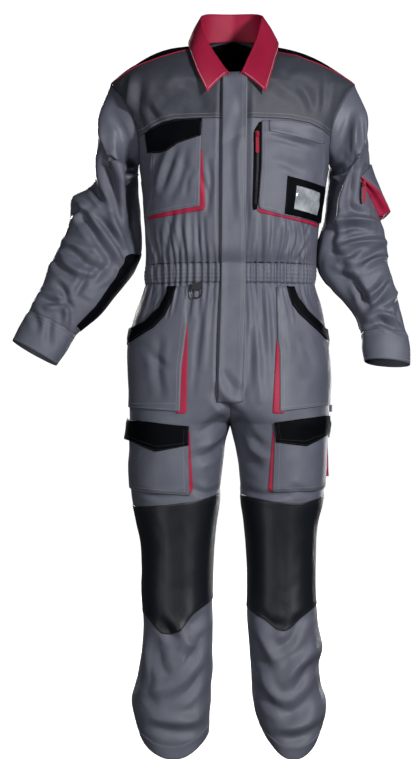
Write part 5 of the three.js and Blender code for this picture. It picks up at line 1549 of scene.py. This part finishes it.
RULE = {"top": 10.4, "bottom": 13.55, "front": 0.505, "back": 0.67}
bellows(
    "rule",
    lambda t, s: DRESS_LEG["l"](lerp(RULE["front"], RULE["back"], s), lerp(RULE["top"], RULE["bottom"], t)),
    lambda t, s: lerp(3.6, lerp(12.5, 5, s), t),
    0.9,
)
FLAP_ROWS = [8.6, 9.4, 10.4, 11.3]
row, u = np.meshgrid(
    across(30, FLAP_ROWS[0], FLAP_ROWS[-1]), across(26, RULE["front"] - 0.005, RULE["back"]), indexing="ij"
)
lift = np.interp(row, FLAP_ROWS, [1.9, 4, 6.6, 8.6])
cloth("rule_flap", Piece().slab(*DRESS_LEG["l"](u, row, lift), 0.7, -0.7), "black")
LOOP_START, LOOP_END = 0.502, 0.578
u, row = np.meshgrid(across(30, LOOP_START, LOOP_END), across(8, 6.75, 7.4))
lift = 1 + 10.5 * np.sin(math.pi * np.clip((u - LOOP_START) / (LOOP_END - LOOP_START), 0, 1)) ** 0.6
cloth("hammer_loop", Piece().slab(*DRESS_LEG["l"](u, row, lift), 0.8, -0.8), "grey")

ARM = {
    "top": 3.3,
    "bottom": 5.95,
    "front": (0.3, 0.465),
    "back": (0.56, 0.66),
    "rise": np.array([3.4, 14, 22, 26, 27, 28]),
}


def on_arm(t, s):
    u = lerp(lerp(*ARM["front"], t), lerp(*ARM["back"], t), s)
    p, n = DRESS_SLEEVE["l"](u, lerp(ARM["top"], ARM["bottom"], t))
    return p, unit(n * 0.5 + (0.6, 0, 0.35))


bellows("arm", on_arm, lambda t, s: lerp(through(ARM["rise"], 5 * t), 3.4, s), 1.7)


# Zip teeth along a line
TOOTH = {"pitch": 3.0, "long": 1.6, "wide": 4.4, "low": -0.6, "high": 1.3}


def teeth(name, p, n):
    run = run_along(p)
    starts = np.arange(TOOTH["pitch"], run[-1] - TOOTH["pitch"], TOOTH["pitch"])
    at = on_line(p, run, starts)
    up = unit(on_line(n, run, starts))
    along = unit(np.gradient(at, axis=0))
    side = unit(np.cross(along, up)) * TOOTH["wide"] / 2
    along = along * TOOTH["long"] / 2
    corners = [
        at + along * a + side * b + up * TOOTH[level]
        for level in ("low", "high")
        for a, b in ((1, 1), (1, -1), (-1, -1), (-1, 1))
    ]
    add_boxes(name, np.stack(corners, 1), MATERIAL["zip"])


z = across(60, 1344, 1200)
u, row = spot_upper("l", np.interp(z, [1190, 1205, 1287, 1378], [52, 53, 57, 57]), z)
teeth("chest_zip_teeth", *DRESS_FRONT["l"](u, row, 2.2))
sew()

# The small hard parts keep their solids
HARD = dict.fromkeys(("chest_slider", "chest_pull", "arm_slider", "arm_pull"), "zip_red")
HARD.update(d_ring="ring", ring_loop="webbing")
for node, look in HARD.items():
    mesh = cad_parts[node].data
    mesh.materials.clear()
    mesh.materials.append(MATERIAL[look])

# Studio
world = bpy.data.worlds.new("studio")
bpy.context.scene.world = world
world.use_nodes = True
sky = world.node_tree.nodes["Background"]
sky.inputs["Color"].default_value = (1, 1, 1, 1)
sky.inputs["Strength"].default_value = 0.04


def area(name, place, aim, size, power):
    """A square lamp: place and aim in metres, power in watts."""
    light = bpy.data.lights.new(name, "AREA")
    light.size, light.energy = size, power
    obj = bpy.data.objects.new(name, light)
    obj.location = place
    obj.rotation_euler = (Vector(aim) - Vector(place)).to_track_quat("-Z", "Y").to_euler()
    bpy.context.scene.collection.objects.link(obj)


area("key", (1.9, -2.9, 0.35), (0, 0, -0.85), 0.5, 106)
area("fill", (-1.3, -3.1, -0.9), (0, 0, -0.85), 0.8, 26)
area("back_key", (-1.2, 3.3, 0.4), (0, 0, -0.8), 0.6, 80)
area("back_fill", (1.5, 3.0, -0.8), (0, 0, -0.8), 0.8, 30)

# Floor and backdrop in one: a flat round floor that bends up into a dome
paper = material("backdrop", (0.93, 0.93, 0.93), 0.9)
paper_shader = paper.node_tree.nodes["Principled BSDF"]
paper_shader.inputs["Emission Color"].default_value = (1, 1, 1, 1)
paper_shader.inputs["Emission Strength"].default_value = 1.0
GROUND = -SHOULDER_HEIGHT * MM
FLOOR, DOME, TURNS = 9.0, 12.0, 48  # radius of the flat floor, and radius and facets of the dome over it
BEND = DOME - FLOOR
profile = [(FLOOR * k / 6, 0.0) for k in range(1, 7)]
profile += [(FLOOR + BEND * math.sin(a), BEND * (1 - math.cos(a))) for a in across(8, 0.2, math.pi / 2)]
profile += [(DOME * math.cos(a), BEND + DOME * math.sin(a)) for a in across(10, 0.15, 1.5)]
verts = [
    (r * math.cos(turn), r * math.sin(turn), GROUND + z)
    for turn in across(TURNS + 1, 0, 2 * math.pi)[:-1]
    for r, z in profile
]
count = len(profile)
faces = []
for k in range(TURNS):
    a, b = k * count, (k + 1) % TURNS * count
    faces += [(a + j, b + j, b + j + 1, a + j + 1) for j in range(count - 1)]
faces.append([k * count for k in range(TURNS)][::-1])
faces.append([k * count + count - 1 for k in range(TURNS)])
mesh = bpy.data.meshes.new("backdrop")
mesh.from_pydata(verts, [], faces)
mesh.polygons.foreach_set("use_smooth", [True] * len(mesh.polygons))
mesh.materials.append(paper)
backdrop = bpy.data.objects.new("backdrop", mesh)
bpy.context.scene.collection.objects.link(backdrop)
backdrop.visible_diffuse = backdrop.visible_glossy = False

VIEW_ANGLE, SENSOR = 23.58, 24  # vertical angle in degrees, sensor height in millimetres
EYE = (-0.044, -4.0, 0.8305)  # over the floor plane
camera = bpy.data.cameras.new("camera")
camera.sensor_fit = "VERTICAL"
camera.sensor_height = SENSOR
camera.lens = SENSOR / 2 / math.tan(math.radians(VIEW_ANGLE) / 2)
eye = bpy.data.objects.new("camera", camera)
eye.location = (EYE[0], EYE[1], EYE[2] + GROUND)
eye.rotation_euler = (math.pi / 2, 0, 0)
bpy.context.scene.collection.objects.link(eye)
bpy.context.scene.camera = eye
bpy.context.scene.view_settings.view_transform = "Standard"
